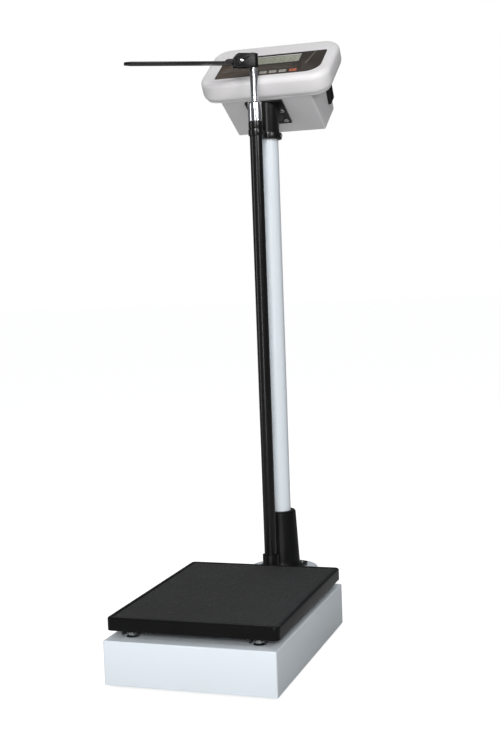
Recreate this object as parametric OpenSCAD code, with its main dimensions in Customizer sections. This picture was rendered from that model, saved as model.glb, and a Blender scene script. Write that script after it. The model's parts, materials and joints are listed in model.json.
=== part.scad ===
// Electronic column weighing scale with a telescoping height rod, in millimetres.
// X runs to the right of someone reading the display, Y to the back, Z up.
// The origin is on the floor, under the middle of the base cover.

/* [Base] */
// Width of the base cover
base_w = 275; // [250:1:340]
// Front-to-back length of the base cover
base_l = 394; // [360:1:480]
// Height of the base cover's box
base_h = 69; // [66:1:90]
// Sheet thickness of the base cover
sheet_t = 1.5; // [1:0.1:2.5]
// Gap between the floor and the base cover's lower edge
floor_gap = 6; // [5:0.5:12]
// Thickness of the steel base plate
base_plate_t = 5; // [4:0.5:8]
// Radius of a levelling foot's pad
foot_r = 16; // [12:0.5:20]
// Width of the rear tongue that carries the column
tongue_w = 128; // [110:1:160]
// Height of the rear tongue's folded sides
tongue_h = 50; // [42:1:58]
// Plate thickness of the rear tongue
tongue_t = 2.5; // [2:0.5:4]

/* [Platform] */
// Front-to-back length of the platform
platform_l = 370; // [330:1:385]
// Height of the platform tray's skirt
skirt_h = 20; // [18:0.5:30]
// Gap between the base cover and the skirt
platform_gap = 11.5; // [9:0.5:16]
// Wall thickness of the platform tray
tray_t = 2; // [1.5:0.5:3]
// Width of the tray's raised rim
rim_w = 7; // [4:0.5:12]
// Thickness of the rubber mat
mat_t = 2; // [1.5:0.1:2.2]
// Width of a spider rail
rail_w = 26; // [20:1:34]
// Sheet thickness of the spider rails
rail_t = 2.5; // [2:0.5:4]

/* [Load cell] */
// Length of the load cell
cell_l = 150; // [130:1:180]
// Width and height of the load cell
cell_w = 40; // [30:1:44]

/* [Column] */
// Distance from the base's middle back to the column's axis
column_y = 294; // [285:1:320]
// Outside radius of the column tube
column_r = 19; // [16:0.5:22]
// Wall thickness of the column tube
column_t = 1.5; // [1.2:0.1:3]
// Height of the column tube's upper end above the floor
column_top = 900; // [700:1:1000]
// Height of the moulded socket
socket_h = 109; // [80:1:140]
// Radius of the socket at its upper end
socket_r = 28; // [25:0.5:34]

/* [Height rod] */
// Distance from the column's axis forward to the rod's axis
rod_gap = 70; // [66:1:90]
// Outside radius of the fixed outer tube
outer_r = 11; // [11:0.5:13]
// Outside radius of the middle tube
middle_r = 9; // [8.5:0.1:9.1]
// Outside radius of the inner rod
inner_r = 7; // [6:0.1:7.1]
// Travel of each sliding stage
rod_travel = 560; // [300:10:580]
// Length of the inner rod that shows above the ferrule
inner_show = 59; // [40:1:90]

/* [Measuring arm] */
// Direction of the arm, turned left from straight forward
arm_turn = 62; // [0:1:85]
// Reach of the arm from the rod's axis
arm_reach = 226; // [160:1:300]
// Width of the arm's blade
arm_w = 22; // [14:1:26]
// Thickness of the arm's blade
arm_t = 4; // [3:0.5:5]

/* [Indicator] */
// Tilt of the indicator's face from level
face_tilt = 34; // [25:1:45]
// Width of the indicator's front bezel
bezel_w = 242; // [230:1:300]
// Length of the front bezel up its slope
bezel_l = 150; // [144:1:180]
// Thickness of the front bezel
bezel_h = 38; // [38:1:50]
// Sideways offset of the indicator from the column
indicator_x = 5.5; // [-10:1:10]
// Width of the rear housing
pod_w = 170; // [160:1:200]
// Depth of the rear housing behind the bezel
pod_d = 98; // [84:1:110]
// Wall thickness of both housing shells
shell_t = 2.5; // [2:0.1:3.5]
// Width of the overlay panel
overlay_w = 194; // [180:1:210]
// Height of the overlay panel up the slope
overlay_l = 86; // [80:1:100]
// Width of the display opening
display_w = 110; // [90:1:120]
// Height of the display opening
display_l = 34; // [28:1:38]

/* [Hidden] */
$fn = 48;

// Fits: a moving shaft in its hole, a screw in its hole, and two pieces side by side
run_gap = 0.05;
hole_gap = 0.2;
side_gap = 0.3;

// Standard fasteners: shank radius, radius over the hexagon's corners, head height
m8_r = 4;
m8_hex_r = 7.5;
m8_head = 5.3;
m5_r = 2.5;
m5_head_r = 4.6;
m5_head = 2.8;
m4_r = 2;
m4_head_r = 3.8;
m4_head = 2.2;

// Base levels
base_top = floor_gap + base_h;
plate_z = floor_gap + 8;
plate_top = plate_z + base_plate_t;
plate_w = base_w - 2 * sheet_t - 10;
plate_l = base_l - 2 * sheet_t - 11;
base_corner_r = 3;
rear_wall_y = base_l / 2;
upstand_w = tongue_w - 8;
upstand_t = 6;
upstand_h = tongue_h - 6;
tongue_z = base_top - tongue_h;
tongue_end_r = 60;
tongue_back = column_y + 66;
tongue_bolt_x = tongue_w / 2 - 19;
tongue_bolt_z = [tongue_z + 9, tongue_z + tongue_h - 16];

// Feet
foot_x = base_w / 2 - 32;
foot_h = 10;
stud_seat = 3;
stud_top = plate_top + 25;
nut_h = 6.5;
stud_gap = 0.08;

// Platform levels
platform_y = 2;
platform_w = base_w;
skirt_z = base_top + platform_gap;
tray_top = skirt_z + skirt_h;
tray_floor = tray_top - 2.5;
tray_under = tray_floor - tray_t;
platform_corner_r = 9;
rail_x = platform_w / 2 - 35.5;
rail_l = platform_l - 2 * tray_t - 10;
rail_top = skirt_z + 4;
rail_drop = 11.5;
hub_t = 6;
hub_l = 120;
pad_r = 12;
pad_y = platform_l / 2 - 55;
stop_gap = 1.5;
stop_y = rail_l / 2 - 12;
stop_post_r = 9;
stop_post_top = base_top + 0.3;
foot_y = stop_y - platform_y - stop_post_r - m8_hex_r - 3.5;

// Load cell
cell_spacer_t = 8;
cell_z = plate_top + cell_spacer_t;
cell_top = cell_z + cell_w;
cell_end = 40;
cell_bolt_y = [cell_l / 2 - 30, cell_l / 2 - 10];
cell_bolt_depth = 16;
cell_bore_r = cell_w * 0.32;
cell_bore_y = 16;
spacer_top = rail_top - hub_t;

// Column and socket
socket_z = base_top;
socket_foot_r = socket_r + 7;
socket_flange = 2 * (socket_foot_r + 5);
socket_flange_t = 5;
socket_flange_r = 12;
socket_bolt_pitch = 2 * (socket_foot_r - 5);
socket_floor = 5;
column_bottom = socket_z + socket_floor;
cable_r = 2.5;
cable_hole_r = 8;

// Height rod
rod_y = column_y - rod_gap;
outer_bore_r = outer_r - 1;
middle_bore_r = middle_r - 1;
rod_foot_r = outer_r + 3.5;
rod_foot_h = 41;
rod_bottom = base_top + 5;
rod_foot_flange_w = 58;
rod_foot_flange_l = 2 * rod_foot_r;
rod_foot_flange_t = 4;
rod_foot_screw_x = 21.5;
collar_r = outer_r + 1.5;
collar_h = 12;
collar_z = column_top - 24;
collar_top = collar_z + collar_h;
outer_top = collar_top - 3;
bush_l = 24;
ferrule_h = 34;
ferrule_z = collar_top + 0.3;
ferrule_top = ferrule_z + ferrule_h;
ferrule_lip = 7;
middle_top = ferrule_top - ferrule_lip;
middle_bottom = rod_bottom + 45;
slider_l = 20;
inner_bottom = middle_bottom + 15;
head_z = ferrule_top + inner_show;
head_h = 24;
head_r = 8.5;
spigot_r = 5;
spigot_h = head_h - 4;
inner_t = 1;
head_screw_r = 2;

// Arm head and arm, drawn with the arm along +X and then turned
arm_angle = 270 - arm_turn;
pivot_x = 22;
pivot_z = head_z + 11;
pivot_r = 2;
cheek_in = 6.2;
cheek_t = 3.2;
cheek_end = 36;
cheek_curve = 12;
tongue_half = cheek_in - side_gap;
knuckle_r = 5.5;
blade_start = pivot_x + 19;
blade_z = head_z + 5.7;
tip_l = 12;

// Indicator frame: its X is across, Y is up the slope, Z is out of the face
indicator_y = column_y - 32;
indicator_z = column_top + 31;
mount_slope = 26.6;
mount_start = 6;
mount_y = indicator_y + mount_start * cos(face_tilt);
mount_z = indicator_z + mount_start * sin(face_tilt);
bezel_corner_r = 34;
bezel_taper = 5;
bezel_round = 11;
face_z = bezel_h;
wall_z = bezel_h - shell_t;
overlay_t = 1;
overlay_x = 6;
overlay_front = 18;
overlay_y = overlay_front + overlay_l / 2;
overlay_small_r = 4;
overlay_big_r = 28;
display_x = 2;
display_strip = 5;
display_y = overlay_front + overlay_l - display_strip - display_l / 2;
window_t = shell_t - overlay_t;
lcd_t = 4.4;
lcd_border = 4;
board_t = 1.6;
board_z = wall_z - 0.7 - lcd_t - board_t;
board_top = board_z + board_t;
board_w = 180;
board_l = 92;
board_y = 72;
board_post_r = 4;
board_post_inset = 6;
key_x = [-1.5, 16.5, 34.5, 54];
key_w = 14;
key_l = 9;
key_y = overlay_front + 12;
key_proud = 0.5;
key_travel = 0.5;
key_t = 2.6;
key_z = face_z + key_proud - key_t;
key_gap = 0.4;
switch_h = key_z - key_travel - 0.2 - board_top;
switch_w = 6;
transformer_size = [30, 24, 12];
transformer_at = [40, 80];
housing_screw_l = 16;
screw_post_r = 5;
screw_post_x = 102;
screw_post_y = [24, bezel_l - 24];
lid_w = bezel_w - 2 * bezel_taper;
lid_l = bezel_l - 2 * bezel_taper;
pod_back = bezel_l - 8;
wall_angle = -(mount_slope + face_tilt);

// Bracket plate under the housing, in the mount's own frame
bracket_w = 70;
bracket_l = 70;
bracket_t = 4;
bracket_front = 8;
bracket_screw_y = [bracket_front + 30, bracket_front + 60];
sleeve_r = column_r + 2.5;
bracket_screw_x = sleeve_r + m5_head_r + 1;
sleeve_z = collar_z - 13;
clamp_z = sleeve_z + 0.5;
clamp_h = 11;
clamp_web = 12;
clamp_rod_r = outer_r + 2;
clamp_column_r = sleeve_r + 4;

// Rear housing fittings
battery_size = [100, 68, 46];
battery_at = [-82, pod_back - shell_t - 70, -pod_d + shell_t + 1];
inlet_flange = [6, 28, 34];
inlet_body = [30, 22, 27];
inlet_y = pod_back - inlet_flange[1] / 2 - 7;
inlet_z = -54;

// Signal cable
cable_z = plate_top + cell_spacer_t + cell_w / 2;
cable_bend = 20;
cable_top = indicator_z + 45;
connector_size = [16, 17, 17];
connector_y = 41;

// A rectangle with round corners, centred
module rounded_rect(w, l, r) {
    square([w - 2 * r, l], center = true);
    square([w, l - 2 * r], center = true);
    for (sx = [-1, 1], sy = [-1, 1])
        translate([sx * (w / 2 - r), sy * (l / 2 - r)]) circle(r = r);
}

// A plate with round corners, standing on its own z = 0
module rounded_plate(w, l, h, r) {
    linear_extrude(h) rounded_rect(w, l, r);
}

// A hexagon-head bolt: the head's underside at z = 0, the shank upwards
module hex_bolt(length) {
    translate([0, 0, -m8_head]) cylinder(r = m8_hex_r, h = m8_head, $fn = 6);
    translate([0, 0, -0.5]) cylinder(r = m8_r, h = length + 0.5);
}

// A hexagon nut standing on z = 0, with its thread as a plain bore
module hex_nut(gap) {
    difference() {
        cylinder(r = m8_hex_r, h = nut_h, $fn = 6);
        translate([0, 0, -1]) cylinder(r = m8_r + gap, h = nut_h + 2);
    }
}

// A domed screw: the head's underside at z = 0, the shank downwards
module pan_screw(shank_r, head_r, head_h, length) {
    rotate_extrude() {
        difference() {
            intersection() {
                square([head_r, head_h]);
                translate([0, head_h - head_r * 1.8]) circle(r = head_r * 1.8);
            }
            translate([-1, head_h * 0.45]) square([1 + head_r * 0.35, head_h]);
        }
        translate([0, -length]) square([shank_r, length + 0.2]);
    }
}

// Puts the children in the indicator's frame, or in the frame of the wall it stands on
module in_indicator() {
    translate([indicator_x, indicator_y, indicator_z]) rotate([face_tilt, 0, 0]) children();
}

module in_mount() {
    translate([0, mount_y, mount_z]) rotate([-mount_slope, 0, 0]) children();
}

// Puts a side view, drawn as slope and height, across the indicator's width
module across(w) {
    translate([-w / 2, 0, 0]) rotate([90, 0, 90]) linear_extrude(w) children();
}

// Base -----------------------------------------------------------------

module base_cover() {
    color("white") difference() {
        translate([0, 0, floor_gap]) rounded_plate(base_w, base_l, base_h, base_corner_r);
        translate([0, 0, floor_gap - 1])
            rounded_plate(base_w - 2 * sheet_t, base_l - 2 * sheet_t, base_h - sheet_t + 1,
                base_corner_r - sheet_t);
        translate([0, -cell_l / 2 + cell_end / 2, floor_gap]) cylinder(r = cell_w * 0.85, h = base_h + 1);
        for (sx = [-1, 1], sy = [-1, 1])
            translate([sx * rail_x, platform_y + sy * stop_y, floor_gap])
                cylinder(r = stop_post_r + 1, h = base_h + 1);
        rear_wall_holes();
    }
}

// The bolt holes and the cable hole that the base's rear wall and the tongue share
module rear_wall_holes() {
    translate([0, rear_wall_y + tongue_t + 1, 0]) rotate([90, 0, 0]) {
        for (sx = [-1, 1], z = tongue_bolt_z)
            translate([sx * tongue_bolt_x, z, 0]) cylinder(r = m8_r + hole_gap, h = 30);
        translate([0, cable_z, 0]) cylinder(r = cable_hole_r, h = 30);
    }
}

// The tongue seen from above, inset by a wall
module tongue_outline(inset, front) {
    half = tongue_w / 2 - inset;
    end_r = tongue_end_r - inset;
    flat = half - end_r;
    translate([-half, front]) square([2 * half, tongue_back - tongue_end_r - front]);
    translate([-flat, front]) square([2 * flat, tongue_back - inset - front]);
    for (sx = [-1, 1]) translate([sx * flat, tongue_back - tongue_end_r]) circle(r = end_r);
}

module rear_tongue() {
    color("white") difference() {
        translate([0, 0, tongue_z]) linear_extrude(tongue_h) tongue_outline(0, rear_wall_y);
        translate([0, 0, tongue_z - 1])
            linear_extrude(tongue_h - tongue_t + 1) tongue_outline(tongue_t, rear_wall_y + tongue_t);
        rear_wall_holes();
        translate([0, column_y, tongue_z]) cylinder(r = cable_hole_r, h = tongue_h + 1);
        for (sx = [-1, 1], sy = [-1, 1])
            translate([sx * socket_bolt_pitch / 2, column_y + sy * socket_bolt_pitch / 2, tongue_z])
                cylinder(r = m5_r + hole_gap, h = tongue_h + 1);
        for (sx = [-1, 1])
            translate([sx * rod_foot_screw_x, rod_y, tongue_z]) cylinder(r = m4_r + hole_gap, h = tongue_h + 1);
    }
}

module base_plate() {
    color("dimgray") difference() {
        union() {
            translate([0, 0, plate_z]) rounded_plate(plate_w, plate_l, base_plate_t, 6);
            translate([-upstand_w / 2, rear_wall_y - sheet_t - upstand_t, plate_z])
                cube([upstand_w, upstand_t, tongue_z + upstand_h - plate_z]);
            for (sx = [-1, 1], sy = [-1, 1])
                translate([sx * rail_x, platform_y + sy * stop_y, plate_z])
                    cylinder(r = stop_post_r, h = stop_post_top - plate_z);
        }
        for (sx = [-1, 1], sy = [-1, 1])
            translate([sx * foot_x, sy * foot_y, plate_z - 1]) cylinder(r = m8_r + stud_gap, h = base_plate_t + 2);
        for (y = cell_bolt_y) translate([0, y, plate_z - 1]) cylinder(r = m8_r + hole_gap, h = base_plate_t + 2);
        rear_wall_holes();
    }
}

module tongue_bolts() {
    head_y = rear_wall_y - sheet_t - upstand_t;
    grip = upstand_t + sheet_t + tongue_t;
    color("silver") for (sx = [-1, 1], z = tongue_bolt_z)
        translate([sx * tongue_bolt_x, head_y, z]) rotate([-90, 0, 0]) {
            hex_bolt(grip + nut_h + 2);
            translate([0, 0, grip]) hex_nut(0);
        }
}

module foot(sx, sy) {
    color("black") translate([sx * foot_x, sy * foot_y, 0]) difference() {
        union() {
            cylinder(r = foot_r, h = foot_h * 0.6);
            translate([0, 0, foot_h * 0.6]) cylinder(r1 = foot_r, r2 = foot_r * 0.6, h = foot_h * 0.4);
        }
        translate([0, 0, stud_seat]) cylinder(r = m8_r, h = foot_h);
    }
}

module stud(sx, sy) {
    color("silver") translate([sx * foot_x, sy * foot_y, stud_seat])
        cylinder(r = m8_r, h = stud_top - stud_seat);
}

module foot_lock_nuts() {
    color("silver") for (sx = [-1, 1], sy = [-1, 1])
        translate([sx * foot_x, sy * foot_y, plate_top]) hex_nut(stud_gap);
}

// Load cell and platform -------------------------------------------------

module load_cell() {
    color("lightgray") difference() {
        translate([-cell_w / 2, -cell_l / 2, cell_z]) cube([cell_w, cell_l, cell_w]);
        for (sy = [-1, 1]) translate([-cell_w, sy * cell_bore_y, cell_z + cell_w / 2])
            rotate([0, 90, 0]) cylinder(r = cell_bore_r, h = 2 * cell_w);
        translate([-cell_w, -cell_bore_y, cell_z + cell_w / 2 - 3]) cube([2 * cell_w, 2 * cell_bore_y, 6]);
        for (y = cell_bolt_y) {
            translate([0, y, cell_z - 1]) cylinder(r = m8_r + hole_gap, h = cell_bolt_depth + 1);
            translate([0, -y, cell_top - cell_bolt_depth]) cylinder(r = m8_r + hole_gap, h = cell_bolt_depth + 1);
        }
    }
}

module spacer(y, z, t) {
    color("gray") difference() {
        translate([-cell_w / 2, y - cell_end / 2, z]) cube([cell_w, cell_end, t]);
        for (b = cell_bolt_y)
            translate([0, sign(y) * b, z - 1]) cylinder(r = m8_r + hole_gap, h = t + 2);
    }
}

module lower_spacer() {
    spacer(cell_l / 2 - cell_end / 2, plate_top, cell_spacer_t);
}

module upper_spacer() {
    spacer(cell_end / 2 - cell_l / 2, cell_top, spacer_top - cell_top);
}

module lower_cell_bolts() {
    length = base_plate_t + cell_spacer_t + cell_bolt_depth - 2;
    color("silver") for (y = cell_bolt_y) translate([0, y, plate_z]) hex_bolt(length);
}

module upper_cell_bolts() {
    length = hub_t + (spacer_top - cell_top) + cell_bolt_depth - 2;
    color("silver") for (y = cell_bolt_y) translate([0, -y, rail_top]) mirror([0, 0, 1]) hex_bolt(length);
}

// One pressed channel rail of the spider, open downwards
module spider_rail() {
    translate([-rail_w / 2, -rail_l / 2, rail_top - rail_drop]) difference() {
        cube([rail_w, rail_l, rail_drop]);
        translate([rail_t, -1, -1]) cube([rail_w - 2 * rail_t, rail_l + 2, rail_drop - rail_t + 1]);
    }
}

module platform_spider() {
    color("black") difference() {
        union() {
            for (sx = [-1, 1]) translate([sx * rail_x, platform_y, 0]) spider_rail();
            translate([-rail_x + rail_w / 2 - 1, platform_y - hub_l / 2, rail_top - hub_t])
                cube([2 * rail_x - rail_w + 2, hub_l, hub_t]);
        }
        for (y = cell_bolt_y) translate([0, -y, rail_top - hub_t - 1]) cylinder(r = m8_r + hole_gap, h = hub_t + 2);
        for (sx = [-1, 1], sy = [-1, 1])
            translate([sx * rail_x, platform_y + sy * stop_y, rail_top - rail_drop])
                cylinder(r = m8_r + hole_gap, h = rail_drop + 1);
    }
}

module overload_stops() {
    head_low = stop_post_top + stop_gap;
    color("silver") for (sx = [-1, 1], sy = [-1, 1])
        translate([sx * rail_x, platform_y + sy * stop_y, 0]) {
            translate([0, 0, head_low + m8_head]) hex_bolt(rail_top + 5 - head_low - m8_head);
            translate([0, 0, rail_top]) cylinder(r = m8_hex_r, h = 4, $fn = 6);
        }
}

module support_pads() {
    color("black") for (sx = [-1, 1], sy = [-1, 1])
        translate([sx * rail_x, platform_y + sy * pad_y, rail_top]) cylinder(r = pad_r, h = tray_under - rail_top);
}

module platform_tray() {
    color("black") translate([0, platform_y, 0]) difference() {
        translate([0, 0, skirt_z]) rounded_plate(platform_w, platform_l, skirt_h, platform_corner_r);
        translate([0, 0, skirt_z - 1])
            rounded_plate(platform_w - 2 * tray_t, platform_l - 2 * tray_t, tray_under - skirt_z + 1,
                platform_corner_r - tray_t);
        translate([0, 0, tray_floor])
            rounded_plate(platform_w - 2 * rim_w, platform_l - 2 * rim_w, skirt_h, platform_corner_r - 3);
    }
}

module platform_mat() {
    inset = rim_w + side_gap;
    color("dimgray") translate([0, platform_y, tray_floor])
        rounded_plate(platform_w - 2 * inset, platform_l - 2 * inset, mat_t, platform_corner_r - 3 - side_gap);
}

// Column -----------------------------------------------------------------

module column_socket() {
    color("black") translate([0, column_y, socket_z]) difference() {
        union() {
            rounded_plate(socket_flange, socket_flange, socket_flange_t, socket_flange_r);
            rotate_extrude($fn = 64) polygon([[0, 1], [socket_foot_r, 1],
                [socket_foot_r, socket_flange_t + 2], [socket_foot_r - 2.3, socket_flange_t + 9],
                [socket_r, socket_h - 2.5], [socket_r - 2, socket_h], [0, socket_h]]);
        }
        translate([0, 0, socket_floor]) cylinder(r = column_r + run_gap, h = socket_h);
        translate([0, 0, -1]) cylinder(r = cable_hole_r, h = socket_floor + 2);
        for (sx = [-1, 1], sy = [-1, 1])
            translate([sx * socket_bolt_pitch / 2, sy * socket_bolt_pitch / 2, -1])
                cylinder(r = m5_r + hole_gap, h = socket_flange_t + 2);
        for (a = [0, 180]) rotate([0, 0, a]) translate([0, 0, socket_h * 0.7]) rotate([0, 90, 0])
            cylinder(r = m5_r + hole_gap, h = socket_foot_r);
    }
}

module socket_bolts() {
    color("silver") for (sx = [-1, 1], sy = [-1, 1])
        translate([sx * socket_bolt_pitch / 2, column_y + sy * socket_bolt_pitch / 2, socket_z + socket_flange_t])
            pan_screw(m5_r, m5_head_r, m5_head, socket_flange_t + tongue_t + 6);
}

module socket_set_screws() {
    color("silver") for (a = [0, 180]) translate([0, column_y, socket_z + socket_h * 0.7]) rotate([0, 0, a])
        translate([column_r, 0, 0]) rotate([0, 90, 0]) cylinder(r = m5_r, h = 8);
}

module column_tube() {
    color("white") translate([0, column_y, column_bottom]) difference() {
        cylinder(r = column_r, h = column_top - column_bottom, $fn = 64);
        translate([0, 0, -1]) cylinder(r = column_r - column_t, h = column_top - column_bottom + 2, $fn = 64);
    }
}

module column_bracket() {
    color("black") difference() {
        union() {
            in_mount() translate([-bracket_w / 2, bracket_front, -bracket_t]) cube([bracket_w, bracket_l, bracket_t]);
            difference() {
                translate([0, column_y, sleeve_z]) cylinder(r = sleeve_r, h = mount_z - sleeve_z, $fn = 64);
                in_mount() translate([-50, -50, -bracket_t / 2]) cube([100, 150, 80]);
            }
        }
        translate([0, column_y, sleeve_z - 1])
            cylinder(r = column_r + run_gap, h = column_top + 0.5 - sleeve_z + 1, $fn = 64);
        translate([0, column_y, column_top]) cylinder(r = cable_hole_r, h = 60);
        in_mount() for (sx = [-1, 1], y = bracket_screw_y)
            translate([sx * bracket_screw_x, y, -bracket_t - 1]) cylinder(r = m5_r + hole_gap, h = bracket_t + 2);
    }
}

module bracket_screws() {
    color("silver") in_mount() for (sx = [-1, 1], y = bracket_screw_y)
        translate([sx * bracket_screw_x, y, -bracket_t]) mirror([0, 0, 1])
            pan_screw(m5_r, m5_head_r, m5_head, bracket_t + shell_t + 4);
}

// Height rod -------------------------------------------------------------

module rod_foot() {
    color("black") translate([0, rod_y, base_top]) difference() {
        union() {
            rounded_plate(rod_foot_flange_w, rod_foot_flange_l, rod_foot_flange_t, 10);
            translate([0, 0, 1]) cylinder(r = rod_foot_r, h = rod_foot_h - 1);
        }
        translate([0, 0, rod_bottom - base_top]) cylinder(r = outer_r + run_gap, h = rod_foot_h);
        for (sx = [-1, 1]) translate([sx * rod_foot_screw_x, 0, -1])
            cylinder(r = m4_r + hole_gap, h = rod_foot_flange_t + 2);
    }
}

module rod_foot_screws() {
    color("silver") for (sx = [-1, 1])
        translate([sx * rod_foot_screw_x, rod_y, base_top + rod_foot_flange_t])
            pan_screw(m4_r, m4_head_r, m4_head, rod_foot_flange_t + tongue_t + 4);
}

// A round tube on the rod's axis between two heights
module rod_sleeve(low, high, outside, bore) {
    translate([0, rod_y, low]) difference() {
        cylinder(r = outside, h = high - low);
        translate([0, 0, -1]) cylinder(r = bore, h = high - low + 2);
    }
}

module rod_outer_tube() {
    color("black") rod_sleeve(rod_bottom, outer_top, outer_r, outer_bore_r);
}

module rod_collar() {
    color("black") translate([0, rod_y, 0]) difference() {
        translate([0, 0, collar_z]) cylinder(r = collar_r, h = collar_h);
        translate([0, 0, collar_z - 1]) cylinder(r = outer_r, h = outer_top - collar_z + 1);
        translate([0, 0, outer_top - 0.1]) cylinder(r = middle_r + 0.4, h = collar_h);
    }
}

module outer_guide_bush() {
    color("ivory") rod_sleeve(outer_top - bush_l, outer_top, outer_bore_r, middle_r + run_gap);
}

module rod_clamp() {
    color("black") difference() {
        union() {
            translate([0, rod_y, clamp_z]) cylinder(r = clamp_rod_r, h = clamp_h);
            translate([0, column_y, clamp_z]) cylinder(r = clamp_column_r, h = clamp_h, $fn = 64);
            translate([-clamp_web / 2, rod_y, clamp_z]) cube([clamp_web, rod_gap, clamp_h]);
        }
        translate([0, rod_y, clamp_z - 1]) cylinder(r = outer_r + run_gap, h = clamp_h + 2);
        translate([0, column_y, clamp_z - 1]) cylinder(r = sleeve_r + run_gap, h = clamp_h + 2, $fn = 64);
        translate([0, column_y, clamp_z + clamp_h / 2]) rotate([0, 90, 0])
            cylinder(r = m4_r + hole_gap, h = clamp_column_r + 10);
    }
}

module rod_clamp_screws() {
    color("silver") translate([clamp_column_r, column_y, clamp_z + clamp_h / 2]) rotate([0, 90, 0])
        pan_screw(m4_r, m4_head_r, m4_head, clamp_column_r - sleeve_r - 0.1);
}

module middle_tube() {
    color("silver") rod_sleeve(middle_bottom, middle_top, middle_r, middle_bore_r);
}

module middle_ferrule() {
    color("silver") translate([0, rod_y, 0]) difference() {
        translate([0, 0, ferrule_z]) cylinder(r = collar_r, h = ferrule_h);
        translate([0, 0, ferrule_z - 1]) cylinder(r = middle_r, h = middle_top - ferrule_z + 1);
        translate([0, 0, middle_top - 0.1]) cylinder(r = inner_r + run_gap, h = ferrule_lip + 1);
    }
}

module middle_slider() {
    color("ivory") rod_sleeve(middle_bottom, middle_bottom + slider_l, outer_bore_r - run_gap, middle_r);
}

module inner_rod() {
    color("silver") translate([0, rod_y, 0]) difference() {
        union() {
            translate([0, 0, inner_bottom]) cylinder(r = inner_r, h = head_z - inner_bottom);
            translate([0, 0, head_z - 1]) cylinder(r = spigot_r, h = spigot_h + 1);
        }
        translate([0, 0, inner_bottom - 1]) cylinder(r = inner_r - inner_t, h = head_z - 15 - inner_bottom);
        translate([0, 0, head_z + spigot_h - 10]) cylinder(r = head_screw_r, h = 11);
    }
}

module inner_slider() {
    color("ivory") rod_sleeve(inner_bottom, inner_bottom + slider_l, middle_bore_r - run_gap, inner_r);
}

// Arm --------------------------------------------------------------------

// Turns the children from along +X to the arm's own direction, on the rod's axis
module in_arm() {
    translate([0, rod_y, 0]) rotate([0, 0, arm_angle]) children();
}

// The side view of one cheek of the arm head
module cheek_outline(h) {
    square([cheek_end - cheek_curve, h]);
    square([cheek_end, h - cheek_curve]);
    translate([cheek_end - cheek_curve, h - cheek_curve]) circle(r = cheek_curve);
}

module arm_head() {
    color("black") in_arm() difference() {
        union() {
            translate([0, 0, head_z + side_gap]) cylinder(r = head_r, h = head_h - side_gap);
            for (y = [-cheek_in, cheek_in + cheek_t]) translate([0, y, head_z + side_gap])
                rotate([90, 0, 0]) linear_extrude(cheek_t) cheek_outline(head_h - side_gap);
        }
        translate([0, 0, head_z]) cylinder(r = spigot_r + run_gap, h = head_h + 1);
        translate([pivot_x, -20, pivot_z]) rotate([-90, 0, 0]) cylinder(r = pivot_r + run_gap, h = 40);
    }
}

module head_screw() {
    color("silver") translate([0, rod_y, head_z + head_h + side_gap])
        pan_screw(head_screw_r, spigot_r + 1.4, 1.8, head_h - spigot_h + side_gap + 8);
}

module arm_pivot() {
    half = cheek_in + cheek_t;
    color("silver") in_arm() translate([pivot_x, 0, pivot_z]) {
        rotate([90, 0, 0]) translate([0, 0, half]) pan_screw(pivot_r, 3.4, 1.8, 2 * half);
        rotate([-90, 0, 0]) translate([0, 0, half]) cylinder(r = 3.2, h = 2, $fn = 6);
    }
}

module measuring_arm() {
    tip = arm_reach - tip_l;
    color("black") in_arm() difference() {
        union() {
            translate([pivot_x, -tongue_half, pivot_z]) rotate([-90, 0, 0]) cylinder(r = knuckle_r, h = 2 * tongue_half);
            translate([pivot_x, -tongue_half, blade_z])
                cube([blade_start - pivot_x + 1, 2 * tongue_half, pivot_z - blade_z + 3]);
            translate([0, 0, blade_z]) linear_extrude(arm_t)
                polygon([[blade_start, -arm_w / 2], [tip, -arm_w / 2], [arm_reach, -arm_w / 4],
                    [arm_reach, arm_w / 4], [tip, arm_w / 2], [blade_start, arm_w / 2]]);
        }
        translate([pivot_x, -20, pivot_z]) rotate([-90, 0, 0]) cylinder(r = pivot_r + run_gap, h = 40);
    }
}

// Indicator --------------------------------------------------------------

// The bezel's rounded body, as levels of [height, inset] joined by cones and shrunk by a wall
module bezel_form(inset, low, high) {
    levels = [[low, bezel_taper], [low + 9, 0], [high - bezel_round, 0],
        [high - bezel_round * 0.35, bezel_round * 0.36], [high, bezel_round]];
    hull() for (i = [0 : len(levels) - 2], sx = [-1, 1], sy = [-1, 1])
        translate([sx * (bezel_w / 2 - bezel_corner_r), bezel_l / 2 + sy * (bezel_l / 2 - bezel_corner_r),
            levels[i][0]])
            cylinder(r1 = bezel_corner_r - inset - levels[i][1], r2 = bezel_corner_r - inset - levels[i + 1][1],
                h = levels[i + 1][0] - levels[i][0], $fn = 32);
}

// The overlay's outline, with one large corner at the lower right
module overlay_outline(grow) {
    w = overlay_w + 2 * grow;
    l = overlay_l + 2 * grow;
    difference() {
        rounded_rect(w, l, overlay_small_r + grow);
        translate([w / 2 - overlay_big_r, -l / 2 - 1]) square([overlay_big_r + 1, overlay_big_r + 1]);
    }
    translate([w / 2 - overlay_big_r, -l / 2 + overlay_big_r]) circle(r = overlay_big_r);
}

// Holes for the four keys, cut from z = 0 upwards
module key_holes(h) {
    for (x = key_x) translate([x, key_y, 0])
        rounded_plate(key_w + 2 * key_gap, key_l + 2 * key_gap, h, 1.5 + key_gap);
}

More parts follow.
